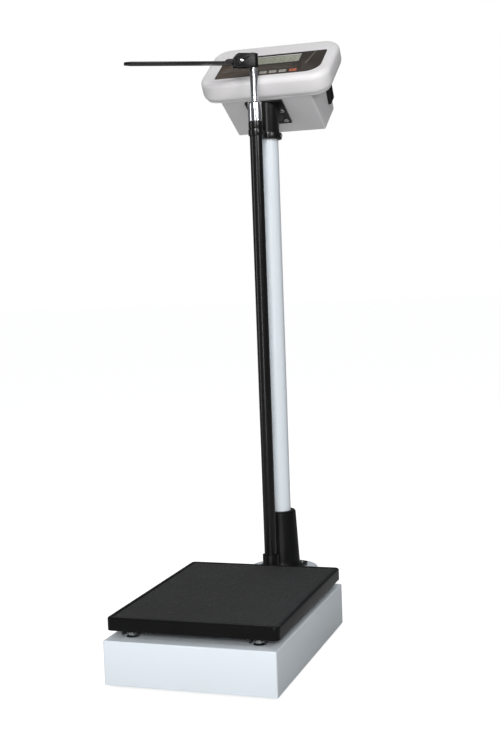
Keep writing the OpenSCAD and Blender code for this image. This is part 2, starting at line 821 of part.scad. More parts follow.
module front_bezel() {
    color("white") in_indicator() difference() {
        union() {
            difference() {
                bezel_form(0, 0, face_z);
                bezel_form(shell_t, -2, wall_z);
            }
            for (sx = [-1, 1], y = screw_post_y)
                translate([sx * screw_post_x, y, 0]) cylinder(r = screw_post_r, h = wall_z + 0.5);
            for (sx = [-1, 1], sy = [-1, 1])
                translate([sx * (board_w / 2 - board_post_inset), board_y + sy * (board_l / 2 - board_post_inset), board_top])
                    cylinder(r = board_post_r, h = wall_z + 0.5 - board_top);
        }
        translate([overlay_x, overlay_y, face_z - overlay_t]) linear_extrude(2) overlay_outline(0.1);
        translate([display_x, display_y, wall_z - 1])
            rounded_plate(display_w + 2 * hole_gap, display_l + 2 * hole_gap, 5, 2 + hole_gap);
        translate([0, 0, wall_z - 1]) key_holes(5);
        for (sx = [-1, 1], y = screw_post_y)
            translate([sx * screw_post_x, y, -1]) cylinder(r = m4_r, h = housing_screw_l + 3);
    }
}

// The rear housing seen from the side: lid line, mounting wall, back
function wall_point(inset, height) =
    let (start = [mount_start - inset * sin(wall_angle), inset * cos(wall_angle)])
        [start[0] + (height - start[1]) * cos(wall_angle) / sin(wall_angle), height];

module pod_outline(inset, lid) {
    polygon([wall_point(inset, lid), wall_point(inset, -pod_d + inset), [pod_back - inset, -pod_d + inset],
        [pod_back - inset, lid]]);
}

module rear_housing() {
    color("whitesmoke") difference() {
        in_indicator() difference() {
            union() {
                translate([0, bezel_l / 2, -shell_t]) rounded_plate(lid_w, lid_l, shell_t, bezel_corner_r - bezel_taper);
                across(pod_w) pod_outline(0, -0.5);
            }
            across(pod_w - 2 * shell_t) pod_outline(shell_t, 1);
            for (sx = [-1, 1], y = screw_post_y)
                translate([sx * screw_post_x, y, -shell_t - 1]) cylinder(r = m4_r + hole_gap, h = shell_t + 2);
            translate([pod_w / 2, inlet_y, inlet_z]) cube([4 * shell_t, inlet_body[1] + 2 * hole_gap, inlet_body[2] + 2 * hole_gap], center = true);
        }
        translate([0, column_y, column_top]) cylinder(r = cable_hole_r, h = 45);
        in_mount() for (sx = [-1, 1], y = bracket_screw_y)
            translate([sx * bracket_screw_x, y, -1]) cylinder(r = m5_r + hole_gap, h = shell_t + 2);
    }
}

module housing_screws() {
    color("silver") in_indicator() for (sx = [-1, 1], y = screw_post_y)
        translate([sx * screw_post_x, y, -shell_t]) mirror([0, 0, 1])
            pan_screw(m4_r, m4_head_r, m4_head, housing_screw_l);
}

module overlay_panel() {
    color("saddlebrown") in_indicator() difference() {
        translate([overlay_x, overlay_y, face_z - overlay_t]) linear_extrude(overlay_t) overlay_outline(0);
        translate([display_x, display_y, face_z - 2]) rounded_plate(display_w, display_l, 4, 2);
        translate([0, 0, face_z - 2]) key_holes(4);
    }
}

module display_window() {
    color("lightblue") in_indicator() translate([display_x, display_y, wall_z])
        rounded_plate(display_w, display_l, window_t, 2);
}

module lcd_module() {
    color("darkseagreen") in_indicator() translate([display_x, display_y, board_top])
        rounded_plate(display_w + 2 * lcd_border, display_l + 2 * lcd_border, lcd_t, 1);
}

module key(i, tint) {
    color(tint) in_indicator() translate([key_x[i], key_y, key_z]) rounded_plate(key_w, key_l, key_t, 1.5);
}

module circuit_board() {
    color("green") in_indicator() {
        translate([-board_w / 2, board_y - board_l / 2, board_z]) cube([board_w, board_l, board_t]);
        for (x = key_x) translate([x - switch_w / 2, key_y - switch_w / 2, board_top - 0.2])
            cube([switch_w, switch_w, switch_h + 0.2]);
        translate([transformer_at[0], transformer_at[1], board_z - transformer_size[2]])
            cube(transformer_size + [0, 0, 0.2]);
    }
    color("green") difference() {
        in_indicator() translate([-indicator_x - connector_size[0] / 2, connector_y, board_z - connector_size[2]])
            cube(connector_size + [0, 0, 0.2]);
        translate([0, column_y, column_top]) cylinder(r = cable_r + 0.1, h = cable_top - column_top);
    }
}

module battery() {
    color("gray") in_indicator() translate(battery_at) {
        cube(battery_size);
        for (x = [20, 70]) translate([x, 8, battery_size[2] - 0.5]) cube([5, 1, 6.5]);
    }
}

module power_inlet() {
    color("black") in_indicator() translate([pod_w / 2, inlet_y, inlet_z]) {
        difference() {
            union() {
                translate([inlet_flange[0] / 2, 0, 0]) cube(inlet_flange, center = true);
                translate([-inlet_body[0] / 2 + 1, 0, 0]) cube([inlet_body[0] + 2, inlet_body[1], inlet_body[2]], center = true);
            }
            translate([-16, -8.5, -12]) cube([30, 17, 24]);
        }
        for (z = [-7, 0, 7]) translate([-17, -2, z - 1]) cube([15, 4, 2]);
    }
}

module cable_grommet() {
    hole_z = mount_z - (column_y - mount_y) * tan(mount_slope);
    color("black") translate([0, column_y, hole_z - 6]) difference() {
        cylinder(r = cable_hole_r - 0.1, h = 16);
        translate([0, 0, -1]) cylinder(r = cable_r + 0.1, h = 18);
    }
}

module signal_cable() {
    color("gray") {
        translate([0, cell_l / 2 + 0.2, cable_z]) rotate([-90, 0, 0])
            cylinder(r = cable_r, h = column_y - cable_bend - cell_l / 2 - 0.2, $fn = 24);
        translate([0, column_y - cable_bend, cable_z + cable_bend]) rotate([90, 0, 90])
            rotate([0, 0, -90]) rotate_extrude(angle = 90, $fn = 48) translate([cable_bend, 0]) circle(r = cable_r, $fn = 24);
        translate([0, column_y, cable_z + cable_bend]) cylinder(r = cable_r, h = cable_top - cable_z - cable_bend, $fn = 24);
    }
}

base_cover();
rear_tongue();
base_plate();
tongue_bolts();
load_cell();
lower_spacer();
lower_cell_bolts();
platform_spider();
upper_spacer();
upper_cell_bolts();
overload_stops();
support_pads();
platform_tray();
platform_mat();
foot(-1, -1);  // front_left_foot
foot(1, -1);  // front_right_foot
foot(-1, 1);  // rear_left_foot
foot(1, 1);  // rear_right_foot
stud(-1, -1);  // front_left_stud
stud(1, -1);  // front_right_stud
stud(-1, 1);  // rear_left_stud
stud(1, 1);  // rear_right_stud
foot_lock_nuts();
column_socket();
socket_bolts();
socket_set_screws();
rod_foot();
rod_foot_screws();
column_tube();
column_bracket();
bracket_screws();
rod_clamp();
rod_clamp_screws();
rod_outer_tube();
rod_collar();
outer_guide_bush();
middle_tube();
middle_ferrule();
middle_slider();
inner_rod();
inner_slider();
arm_head();
head_screw();
arm_pivot();
measuring_arm();
front_bezel();
rear_housing();
housing_screws();
overlay_panel();
display_window();
lcd_module();
key(0, "lightgray");  // zero_key
key(1, "lightgray");  // hold_key
key(2, "lightgray");  // unit_key
key(3, "orange");  // power_key
circuit_board();
battery();
power_inlet();
cable_grommet();
signal_cable();
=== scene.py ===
"""An electronic column weighing scale with a telescoping height rod, dressed around its CAD frame.

The file follows the scale as it is put together: room, base, feet, platform, column, height rod, arm, head.
"""

import json
import math

import bmesh
import bpy
from mathutils import Matrix, Vector


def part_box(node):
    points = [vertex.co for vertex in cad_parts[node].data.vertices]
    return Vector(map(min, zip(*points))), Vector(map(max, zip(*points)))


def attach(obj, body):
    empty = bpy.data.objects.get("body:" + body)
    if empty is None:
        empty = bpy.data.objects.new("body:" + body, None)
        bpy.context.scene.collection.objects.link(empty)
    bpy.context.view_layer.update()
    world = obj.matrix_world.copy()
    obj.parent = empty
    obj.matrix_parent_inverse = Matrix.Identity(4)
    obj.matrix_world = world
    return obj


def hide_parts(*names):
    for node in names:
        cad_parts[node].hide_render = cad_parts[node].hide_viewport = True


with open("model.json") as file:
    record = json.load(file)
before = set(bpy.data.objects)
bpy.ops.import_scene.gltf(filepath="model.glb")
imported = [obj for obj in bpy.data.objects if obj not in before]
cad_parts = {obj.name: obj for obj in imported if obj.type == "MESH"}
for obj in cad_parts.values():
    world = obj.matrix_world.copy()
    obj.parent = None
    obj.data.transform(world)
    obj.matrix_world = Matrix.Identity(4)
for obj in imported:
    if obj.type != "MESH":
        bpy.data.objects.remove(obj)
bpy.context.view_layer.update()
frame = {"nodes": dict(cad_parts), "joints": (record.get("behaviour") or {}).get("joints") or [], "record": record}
nodes = frame["nodes"]
scene = bpy.context.scene
MM = 0.001

# ---- Camera ----
# The eye stands in front of the scale and to its right, a little above half its height.
# It looks slightly down.

EYE = Vector((0.6453, -1.7971, 0.6073))
LOOK = Vector((-0.3147, 0.9460, -0.0777))
ROLL_UP = Vector((0.0099, 0.0852, 0.9964))
LENS = 57.16

camera_data = bpy.data.cameras.new("camera")
camera_data.lens = LENS
camera_data.sensor_width = 36
camera = bpy.data.objects.new("camera", camera_data)
scene.collection.objects.link(camera)
across = LOOK.cross(ROLL_UP).normalized()
up = across.cross(LOOK).normalized()
facing = Matrix((across, up, -LOOK.normalized())).transposed().to_4x4()
camera.matrix_world = Matrix.Translation(EYE) @ facing
scene.camera = camera

# ---- Room ----
# A plain pale floor under white surroundings. Broad window light falls from behind the camera. Soft lamps
# stand at both sides, low in front, overhead and behind. A tall narrow one lights the round tubes' edges.

FLOOR_SIZE = 60
FLOOR_GREY = 0.45
FLOOR_LIFT = 0.85
FLOOR_ROUGHNESS = 0.9
SKY_SEEN = (1.0, 1.0, 1.0, 1)
SKY_FILL = (0.92, 0.96, 1.0, 1)
SKY_FILL_STRENGTH = 0.12
WINDOW_FROM = Vector((0.24, -1.0, 0.5))
WINDOW_STRENGTH = 1.45
WINDOW_SPREAD = math.radians(18)
AIM = Vector((0, 0.25, 0.95))
# place, width, height and power of each lamp
LAMPS = {
    "strip_lamp": ((0.62, -2.25, 0.85), 0.28, 1.7, 9.5),
    "key_lamp": ((1.35, -0.75, 1.35), 0.5, 0.7, 8),
    "overhead_lamp": ((-0.2, -0.2, 3.0), 2.4, 2.4, 5),
    "low_lamp": ((0.1, -2.3, 0.4), 1.8, 0.5, 8),
    "left_lamp": ((-2.2, -1.0, 1.0), 0.6, 1.8, 10),
    "back_lamp": ((-1.2, 2.4, 2.1), 1.4, 1.8, 26),
}
MATT_LAMPS = ("back_lamp", "low_lamp")

floor_mesh = bmesh.new()
bmesh.ops.create_grid(floor_mesh, x_segments=1, y_segments=1, size=FLOOR_SIZE / 2)
floor_data = bpy.data.meshes.new("floor")
floor_mesh.to_mesh(floor_data)
floor_mesh.free()
floor_paint = bpy.data.materials.new("floor_paint")
floor_paint.use_nodes = True
floor_shader = floor_paint.node_tree.nodes["Principled BSDF"]
floor_shader.inputs["Base Color"].default_value = (FLOOR_GREY, FLOOR_GREY, FLOOR_GREY, 1)
floor_shader.inputs["Roughness"].default_value = FLOOR_ROUGHNESS
floor_shader.inputs["Specular IOR Level"].default_value = 0
floor_shader.inputs["Emission Color"].default_value = (1, 1, 1, 1)
floor_ray = floor_paint.node_tree.nodes.new("ShaderNodeLightPath")
floor_lift = floor_paint.node_tree.nodes.new("ShaderNodeMath")
floor_lift.operation = "MULTIPLY"
floor_lift.inputs[1].default_value = FLOOR_LIFT
floor_paint.node_tree.links.new(floor_ray.outputs["Is Camera Ray"], floor_lift.inputs[0])
floor_paint.node_tree.links.new(floor_lift.outputs[0], floor_shader.inputs["Emission Strength"])
floor_data.materials.append(floor_paint)
floor = bpy.data.objects.new("floor", floor_data)
scene.collection.objects.link(floor)

sky = bpy.data.worlds.new("sky")
sky.use_nodes = True
scene.world = sky
sky_nodes, sky_links = sky.node_tree.nodes, sky.node_tree.links
seen, fill = sky_nodes.new("ShaderNodeBackground"), sky_nodes["Background"]
seen.inputs["Color"].default_value = SKY_SEEN
fill.inputs["Color"].default_value = SKY_FILL
fill.inputs["Strength"].default_value = SKY_FILL_STRENGTH
ray, choice = sky_nodes.new("ShaderNodeLightPath"), sky_nodes.new("ShaderNodeMixShader")
sky_links.new(ray.outputs["Is Camera Ray"], choice.inputs[0])
sky_links.new(fill.outputs[0], choice.inputs[1])
sky_links.new(seen.outputs[0], choice.inputs[2])
sky_links.new(choice.outputs[0], sky_nodes["World Output"].inputs["Surface"])

for lamp_name, (place, width, height, power) in LAMPS.items():
    lamp_data = bpy.data.lights.new(lamp_name, "AREA")
    lamp_data.shape = "RECTANGLE"
    lamp_data.size, lamp_data.size_y = width, height
    lamp_data.energy = power
    lamp = bpy.data.objects.new(lamp_name, lamp_data)
    lamp.location = place
    lamp.rotation_euler = (AIM - Vector(place)).to_track_quat("-Z", "Y").to_euler()
    lamp.visible_glossy = lamp_name not in MATT_LAMPS
    scene.collection.objects.link(lamp)
window_data = bpy.data.lights.new("window_light", "SUN")
window_data.energy, window_data.angle = WINDOW_STRENGTH, WINDOW_SPREAD
window = bpy.data.objects.new("window_light", window_data)
window.rotation_euler = WINDOW_FROM.to_track_quat("Z", "Y").to_euler()
scene.collection.objects.link(window)
scene.view_settings.view_transform = "Standard"

# ---- Base cover ----
# One sheet of steel folded into a five-sided box, welded and ground at its corners, and powder coated white.
# The fold leaves a soft upper edge, and the coat shows a fine orange-peel skin.

COVER_FOLD = 2.2 * MM
COVER_HEM = 0.5 * MM
COVER_EDGE_BAND = 4 * MM
MERGE = 1e-6
FLAT = math.radians(0.6)
CRISP = math.radians(34)
body_of = {node: body for body, held in frame["record"]["behaviour"]["bodies"].items() for node in held}


def linear(red, green, blue):
    """A paint chip's colour, given as 0 to 255, as the light it gives back."""
    chip = (red, green, blue)
    return tuple(((c / 255 + 0.055) / 1.055) ** 2.4 if c > 10 else c / 255 / 12.92 for c in chip) + (1,)


class Value:
    """A number that varies over a surface. Arithmetic on it adds Math nodes to its finish."""

    def __init__(self, finish, socket):
        self.finish, self.socket = finish, socket

    def math(self, operation, *others):
        return self.finish.node("ShaderNodeMath", {"operation": operation}, dict(enumerate(others)))

    def __add__(self, other):
        return self.math("ADD", self, other)

    def __sub__(self, other):
        return self.math("SUBTRACT", self, other)

    def __rsub__(self, other):
        return self.math("SUBTRACT", other, self)

    def __mul__(self, other):
        return self.math("MULTIPLY", self, other)

    def __truediv__(self, other):
        return self.math("DIVIDE", self, other)

    def __lt__(self, other):
        return self.math("LESS_THAN", self, other)

    def __gt__(self, other):
        return self.math("GREATER_THAN", self, other)

    def __abs__(self):
        return self.math("ABSOLUTE", self)

    def least(self, other):
        return self.math("MINIMUM", self, other)

    def most(self, other):
        return self.math("MAXIMUM", self, other)

    def part(self):
        """What is left after the whole numbers are taken away."""
        return self.math("FRACT", self)

    __radd__, __rmul__ = __add__, __mul__


class Finish:
    """One material: a surface with its steady numbers, and the nodes that vary it."""

    def __init__(self, name, colour, **steady):
        self.material = bpy.data.materials.new(name)
        self.material.use_nodes = True
        self.tree = self.material.node_tree
        self.surface = self.tree.nodes["Principled BSDF"]
        self.colour = colour
        self.surface.inputs["Base Color"].default_value = colour
        for socket, number in steady.items():
            label = socket.replace("_", " ").title().replace("Ior", "IOR")
            self.surface.inputs[label].default_value = number

    def node(self, kind, settings=None, inputs=None, output=0):
        made = self.tree.nodes.new(kind)
        for setting, choice in (settings or {}).items():
            setattr(made, setting, choice)
        for socket, given in (inputs or {}).items():
            self.join(given, made.inputs[socket])
        return Value(self, made.outputs[output])

    def join(self, given, socket):
        if isinstance(given, Value):
            self.tree.links.new(given.socket, socket)
        else:
            socket.default_value = given

    def place(self, move=(0, 0, 0), turn=(0, 0, 0), stretch=(1, 1, 1)):
        """The point on the piece, moved, turned and stretched."""
        point = self.node("ShaderNodeTexCoord", output="Object")
        inputs = {"Vector": point, "Location": move, "Rotation": turn, "Scale": stretch}
        return self.node("ShaderNodeMapping", {}, inputs)

    def axes(self, place):
        """The three coordinates of a place."""
        return [self.node("ShaderNodeSeparateXYZ", {}, {0: place}, axis) for axis in range(3)]

    def noise(self, size, detail=2.0, place=None):
        """A cloudy value from 0 to 1, whose lumps are about size metres across."""
        inputs = {"Vector": place or self.place(), "Scale": 1 / size, "Detail": detail}
        return self.node("ShaderNodeTexNoise", {}, inputs)

    def blend(self, share, start, end):
        """A colour that goes from start to end as share goes from 0 to 1."""
        return self.node("ShaderNodeMix", {"data_type": "RGBA"}, {0: share, 6: start, 7: end}, 2)

    def vary_colour(self, share, end):
        self.join(self.blend(share, self.colour, end), self.surface.inputs["Base Color"])

    def vary(self, socket, value):
        self.join(value, self.surface.inputs[socket])

    def relief(self, height, depth, strength=1.0):
        """Bumps whose full height is depth metres."""
        inputs = {"Strength": strength, "Distance": depth, "Height": height}
        self.vary("Normal", self.node("ShaderNodeBump", {}, inputs))


def whole_faces(node):
    """A copy of a CAD node's mesh, with its loose triangles merged into whole faces."""
    bm = bmesh.new()
    bm.from_mesh(nodes[node].data)
    bmesh.ops.remove_doubles(bm, verts=bm.verts, dist=MERGE)
    bmesh.ops.dissolve_limit(bm, angle_limit=FLAT, verts=bm.verts, edges=bm.edges)
    return bm


def round_edges(bm, width, segments=2, where=lambda middle: True):
    """Rounds the crisp edges whose middle is where it says."""
    chosen = []
    for edge in bm.edges:
        middle = (edge.verts[0].co + edge.verts[1].co) / 2
        if edge.is_manifold and edge.calc_face_angle() > CRISP and where(middle):
            chosen.append(edge)
    bmesh.ops.bevel(bm, geom=chosen, offset=width, offset_type="OFFSET", segments=segments, profile=0.5,
                    affect="EDGES", clamp_overlap=True, material=-1)


def shown(name, bm, finish, *stands_for):
    """Turns a bmesh into a piece that rides with the CAD nodes that it stands for."""
    mesh = bpy.data.meshes.new(name)
    bm.to_mesh(mesh)
    bm.free()
    mesh.shade_smooth()
    mesh.set_sharp_from_angle(angle=CRISP)
    made = bpy.data.objects.new(name, mesh)
    scene.collection.objects.link(made)
    mesh.materials.append(finish.material)
    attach(made, body_of[stands_for[0]])
    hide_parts(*stands_for)
    return made


white_coat = Finish("white_powder_coat", linear(230, 238, 244), roughness=0.36, coat_roughness=0.12)
peel = white_coat.noise(2.2 * MM, 1.5)
smear = white_coat.noise(0.11, 4)
white_coat.vary_colour((smear - 0.45) * 0.5, linear(222, 226, 229))
white_coat.vary("Roughness", smear * 0.16 + 0.26)
white_coat.vary("Coat Weight", 0.45 - smear * 0.3)
white_coat.relief(peel, 0.05 * MM, 0.35)

cover_low, cover_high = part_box("base_cover")
cover = whole_faces("base_cover")
round_edges(cover, COVER_HEM, 2, lambda middle: middle.z < cover_low.z + MERGE)
round_edges(cover, COVER_FOLD, 5, lambda middle: middle.z > cover_high.z - MERGE and (
    abs(middle.x) > cover_high.x - COVER_EDGE_BAND or abs(middle.y) > cover_high.y - COVER_EDGE_BAND))
shown("base_cover_shell", cover, white_coat, "base_cover")

# ---- Rear tongue ----
# A thicker folded plate, coated like the cover and bolted to its back wall.
# It carries the column and the rod.

TONGUE_FOLD = 1.8 * MM
TONGUE_SIDE_BAND = 1 * MM
TONGUE_END_LENGTH = 60 * MM
TONGUE_END_REACH = 66 * MM
TONGUE_HOLES_REACH = 50 * MM

tongue_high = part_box("rear_tongue")[1]
tongue = whole_faces("rear_tongue")
tongue_centre = Vector((0, tongue_high.y - TONGUE_END_REACH))
round_edges(tongue, TONGUE_FOLD, 4, lambda middle: middle.z > tongue_high.z - MERGE and (
    abs(middle.x) > tongue_high.x - TONGUE_SIDE_BAND or middle.y > tongue_high.y - TONGUE_END_LENGTH and
    (middle.xy - tongue_centre).length > TONGUE_HOLES_REACH))
shown("rear_tongue_plate", tongue, white_coat, "rear_tongue")

# ---- Base plate, spider and bolts ----
# The plate and the platform's spider are pressed steel in satin black paint with a slight texture.
# Bolts, studs, nuts and spacers are zinc plated, which leaves a faint blue and yellow cloud.

SMALL_EDGE = 0.35 * MM
SCREW_EDGE = SMALL_EDGE * 0.7
SPIDER_EDGE = 0.6 * MM
THREAD_PITCH = 1.25 * MM


def dress(finish, *plain_nodes):
    """Gives CAD nodes that stay as they are a finish."""
    for node in plain_nodes:
        nodes[node].data.materials.clear()
        nodes[node].data.materials.append(finish.material)


def soften(node, finish, width, segments=2):
    """Shows a CAD node with all its crisp edges rounded."""
    bm = whole_faces(node)
    round_edges(bm, width, segments)
    return shown(node + "_piece", bm, finish, node)


frame_paint = Finish("frame_paint", linear(30, 30, 32), roughness=0.45)
frame_grain = frame_paint.noise(0.9 * MM, 3)
frame_paint.vary_colour(frame_grain * 0.6, linear(44, 44, 46))
frame_paint.vary("Roughness", frame_grain * 0.25 + 0.35)
frame_paint.relief(frame_grain, 0.06 * MM, 0.5)

zinc = Finish("zinc_plate", linear(196, 200, 204), metallic=1.0, roughness=0.26)
zinc_cloud = zinc.noise(6 * MM, 3)
zinc.vary_colour(zinc_cloud * 0.7, linear(176, 174, 160))
zinc.vary("Roughness", zinc.noise(1.5 * MM, 4) * 0.25 + 0.16)

thread = Finish("zinc_thread", linear(186, 190, 194), metallic=1.0, roughness=0.3)
thread_height = thread.axes(thread.place())[2] / THREAD_PITCH
# Painted shade: darker bands at the thread's pitch, in step with its relief, stand in for the shading of the
# thread's form.
thread.vary_colour(abs(thread_height.part() - 0.5) * 1.4, linear(120, 120, 118))
thread.relief(abs(thread_height.part() - 0.5), 0.6 * MM)

dress(frame_paint, "base_plate")
soften("platform_spider", frame_paint, SPIDER_EDGE)
for bolts in ("overload_stops", "tongue_bolts", "lower_cell_bolts", "upper_cell_bolts", "foot_lock_nuts"):
    soften(bolts, zinc, SMALL_EDGE)
dress(zinc, "lower_spacer", "upper_spacer")

# ---- Levelling feet ----
# Four moulded rubber pads with a grooved rim, each on a zinc-plated stud that screws into the base plate.

PAD_GROOVES = 3
PAD_GROOVE_DEPTH = 0.7 * MM
PAD_GROOVE_HALF = 0.5 * MM
PAD_BREAK = 0.8 * MM
PAD_WALL_SHARE = 0.6
PAD_BORE = 4.2 * MM
PAD_FLOOR = 3 * MM
ROUND_STEPS = 64
CORNERS = ("front_left", "front_right", "rear_left", "rear_right")

rubber = Finish("moulded_rubber", linear(26, 26, 27), roughness=0.75)
rubber_dust = rubber.noise(9 * MM, 5)
rubber.vary_colour(rubber_dust * 0.5, linear(52, 51, 49))
rubber.vary("Roughness", rubber_dust * 0.3 + 0.55)
rubber.relief(rubber.noise(0.7 * MM, 2), 0.08 * MM, 0.5)


def turned(outline, centre, steps=ROUND_STEPS):
    """A solid turned about a vertical line through centre. The outline is (radius, height) points from the
    lowest on the axis to the highest on the axis."""
    bm = bmesh.new()
    points = [bm.verts.new((centre[0] + radius, centre[1], height)) for radius, height in outline]
    line = [bm.edges.new(pair) for pair in zip(points, points[1:])]
    bmesh.ops.spin(bm, geom=points + line, cent=(centre[0], centre[1], 0), axis=(0, 0, 1), angle=math.tau,
                   steps=steps, use_merge=True, use_duplicate=False)
    bmesh.ops.remove_doubles(bm, verts=bm.verts, dist=MERGE)
    bmesh.ops.recalc_face_normals(bm, faces=bm.faces)
    return bm


for corner in CORNERS:
    pad_low, pad_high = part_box(corner + "_foot")
    pad_r, pad_h = (pad_high.x - pad_low.x) / 2, pad_high.z - pad_low.z
    wall = pad_h * PAD_WALL_SHARE
    outline = [(0, 0), (pad_r - 1 * MM, 0), (pad_r, PAD_BREAK)]
    for groove in range(PAD_GROOVES):
        foot_of_groove = wall * (groove + 0.75) / (PAD_GROOVES + 0.75)
        outline += [(pad_r, foot_of_groove - PAD_GROOVE_HALF), (pad_r - PAD_GROOVE_DEPTH, foot_of_groove),
                    (pad_r, foot_of_groove + PAD_GROOVE_HALF)]
    outline += [(pad_r, wall), (pad_r - 1 * MM, wall + PAD_BREAK), (pad_r * 0.62, pad_h - 0.3 * MM),
                (pad_r * 0.58, pad_h), (PAD_BORE, pad_h), (PAD_BORE, PAD_FLOOR), (0, PAD_FLOOR)]
    pad_centre = ((pad_low.x + pad_high.x) / 2, (pad_low.y + pad_high.y) / 2)
    shown(corner + "_foot_pad", turned(outline, pad_centre), rubber, corner + "_foot")
    soften(corner + "_stud", thread, SMALL_EDGE)

# ---- Load cell ----
# A single-point cell milled from aluminium bar, with the strain gauges' window bored through its middle.

cell_metal = Finish("milled_aluminium", linear(200, 202, 205), metallic=1.0, roughness=0.34)
mill_lines = cell_metal.noise(0.5 * MM, 2, cell_metal.place(stretch=(1, 0.05, 1)))
cell_metal.vary("Roughness", mill_lines * 0.3 + 0.2)
cell_metal.relief(mill_lines, 0.03 * MM, 0.6)
soften("load_cell", cell_metal, SMALL_EDGE)

# ---- Platform tray ----
# A pressed steel tray in gloss black. Its rim stands a little proud of the mat.
# All its folds are rounded.

TRAY_FOLD = 2.6 * MM
RIM_EDGE = 0.5 * MM

tray_paint = Finish("gloss_black_paint", linear(14, 14, 14), roughness=0.25, ior=1.28)
tray_smear = tray_paint.noise(0.07, 5)
tray_paint.vary_colour((tray_smear - 0.4) * 0.6, linear(30, 30, 31))
tray_paint.vary("Roughness", tray_smear * 0.2 + 0.2)
tray_paint.relief(tray_paint.noise(2.5 * MM, 1.5), 0.04 * MM, 0.3)

tray_low, tray_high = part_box("platform_tray")
tray = whole_faces("platform_tray")
tray_middle = (tray_low + tray_high) / 2


def on_outer_wall(middle, margin=4 * MM):
    half = (tray_high - tray_low) / 2
    return abs(middle.x - tray_middle.x) > half.x - margin or abs(middle.y - tray_middle.y) > half.y - margin


round_edges(tray, RIM_EDGE, 2, lambda middle: middle.z > tray_high.z - MERGE and not on_outer_wall(middle))
round_edges(tray, RIM_EDGE, 2, lambda middle: middle.z < tray_low.z + MERGE)
round_edges(tray, TRAY_FOLD, 5, lambda middle: middle.z > tray_high.z - MERGE and on_outer_wall(middle))
shown("platform_tray_shell", tray, tray_paint, "platform_tray")
dress(rubber, "support_pads")

# ---- Platform mat ----
# A sheet of dark grey rubber that lies in the tray.
# Its top is moulded into small raised squares inside a plain hem.

MAT_PITCH = 5 * MM
MAT_HEM = 5 * MM
MAT_GROOVE = 0.55 * MM
MAT_RELIEF = 0.35 * MM
MAT_BREAK = 0.4 * MM

mat_low, mat_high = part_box("platform_mat")
mat_rubber = Finish("mat_rubber", linear(48, 48, 48), roughness=0.5)
mat_dust = mat_rubber.noise(0.05, 6)
mat_rubber.vary_colour((mat_dust - 0.35) * 0.9, linear(60, 60, 58))
mat_rubber.vary("Roughness", mat_dust * 0.3 + 0.36)
mat_rubber.relief(mat_rubber.noise(0.6 * MM, 3), 0.05 * MM, 0.5)

mat = bmesh.new()
mat_size = mat_high - mat_low
columns = int((mat_size.x - 2 * MAT_HEM) / MAT_PITCH)
rows = int((mat_size.y - 2 * MAT_HEM) / MAT_PITCH)
bmesh.ops.create_grid(mat, x_segments=columns, y_segments=rows, size=0.5)
bmesh.ops.scale(mat, vec=(columns * MAT_PITCH, rows * MAT_PITCH, 1), verts=mat.verts)
field = mat.faces[:]
hem = [edge for edge in mat.edges if edge.is_boundary]
mat_half = Vector((columns, rows)) * MAT_PITCH / 2
hem_reach = MAT_HEM + MAT_BREAK
for reach, drop in ((MAT_HEM, 0), (hem_reach, MAT_BREAK), (hem_reach, mat_size.z - MAT_RELIEF)):
    grown = bmesh.ops.extrude_edge_only(mat, edges=hem)["geom"]
    hem = [part for part in grown if isinstance(part, bmesh.types.BMEdge) and part.is_boundary]
    for vert in {vert for edge in hem for vert in edge.verts}:
        hem_x = mat_size.x / 2 - hem_reach + reach
        hem_y = mat_size.y / 2 - hem_reach + reach
        if abs(vert.co.x) > mat_half.x - MERGE:
            vert.co.x = math.copysign(hem_x, vert.co.x)
        if abs(vert.co.y) > mat_half.y - MERGE:
            vert.co.y = math.copysign(hem_y, vert.co.y)
        vert.co.z = -drop
bmesh.ops.edgeloop_fill(mat, edges=hem)
bmesh.ops.inset_individual(mat, faces=field, thickness=MAT_GROOVE, depth=MAT_RELIEF, use_even_offset=True)
bmesh.ops.recalc_face_normals(mat, faces=mat.faces)
mat_middle = (mat_low + mat_high) / 2
bmesh.ops.translate(mat, vec=(mat_middle.x, mat_middle.y, mat_high.z - MAT_RELIEF), verts=mat.verts)
shown("platform_mat_sheet", mat, mat_rubber, "platform_mat")

# ---- Column socket and rod foot ----
# Black mouldings that hold the column and the rod on the tongue, with bolted flanges and a satin skin.

MOULDED_EDGE = 0.9 * MM

socket_plastic = Finish("socket_plastic", linear(9, 9, 10), roughness=0.22, specular_ior_level=0.25)
socket_smear = socket_plastic.noise(0.03, 5)
socket_plastic.vary_colour(socket_smear * 0.5, linear(14, 15, 15))
socket_plastic.vary("Roughness", socket_smear * 0.2 + 0.27)
socket_plastic.relief(socket_plastic.noise(0.8 * MM, 3), 0.03 * MM, 0.35)

soften("column_socket", socket_plastic, MOULDED_EDGE, 3)
soften("rod_foot", socket_plastic, MOULDED_EDGE, 3)
for screws in ("socket_bolts", "rod_foot_screws", "socket_set_screws"):
    soften(screws, zinc, SCREW_EDGE)

# ---- Column ----
# A steel tube in the same white coat. A black bracket sleeve with a sloping plate caps it and carries the
# display head, and a clamp ties the height rod to it.

TUBE_STEPS = 96
TUBE_LIP = 0.3 * MM
COLUMN_BORE_SHARE = 17.5 / 19
BRACKET_EDGE = 0.8 * MM
CLAMP_EDGE = 0.6 * MM


def tube(node, bore_share, lip=0.4 * MM):
    """A round tube in the box of a CAD node, with its ends broken by a small lip."""
    low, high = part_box(node)
    radius = (high.x - low.x) / 2
    bore = radius * bore_share
    outline = [(bore, low.z + lip), (bore + lip, low.z), (radius - lip, low.z), (radius, low.z + lip),
               (radius, high.z - lip), (radius - lip, high.z), (bore + lip, high.z), (bore, high.z - lip)]
    outline.append(outline[0])
    return turned(outline, ((low.x + high.x) / 2, (low.y + high.y) / 2), TUBE_STEPS)


column_piece = tube("column_tube", COLUMN_BORE_SHARE, TUBE_LIP)
shown("column_tube_piece", column_piece, white_coat, "column_tube")

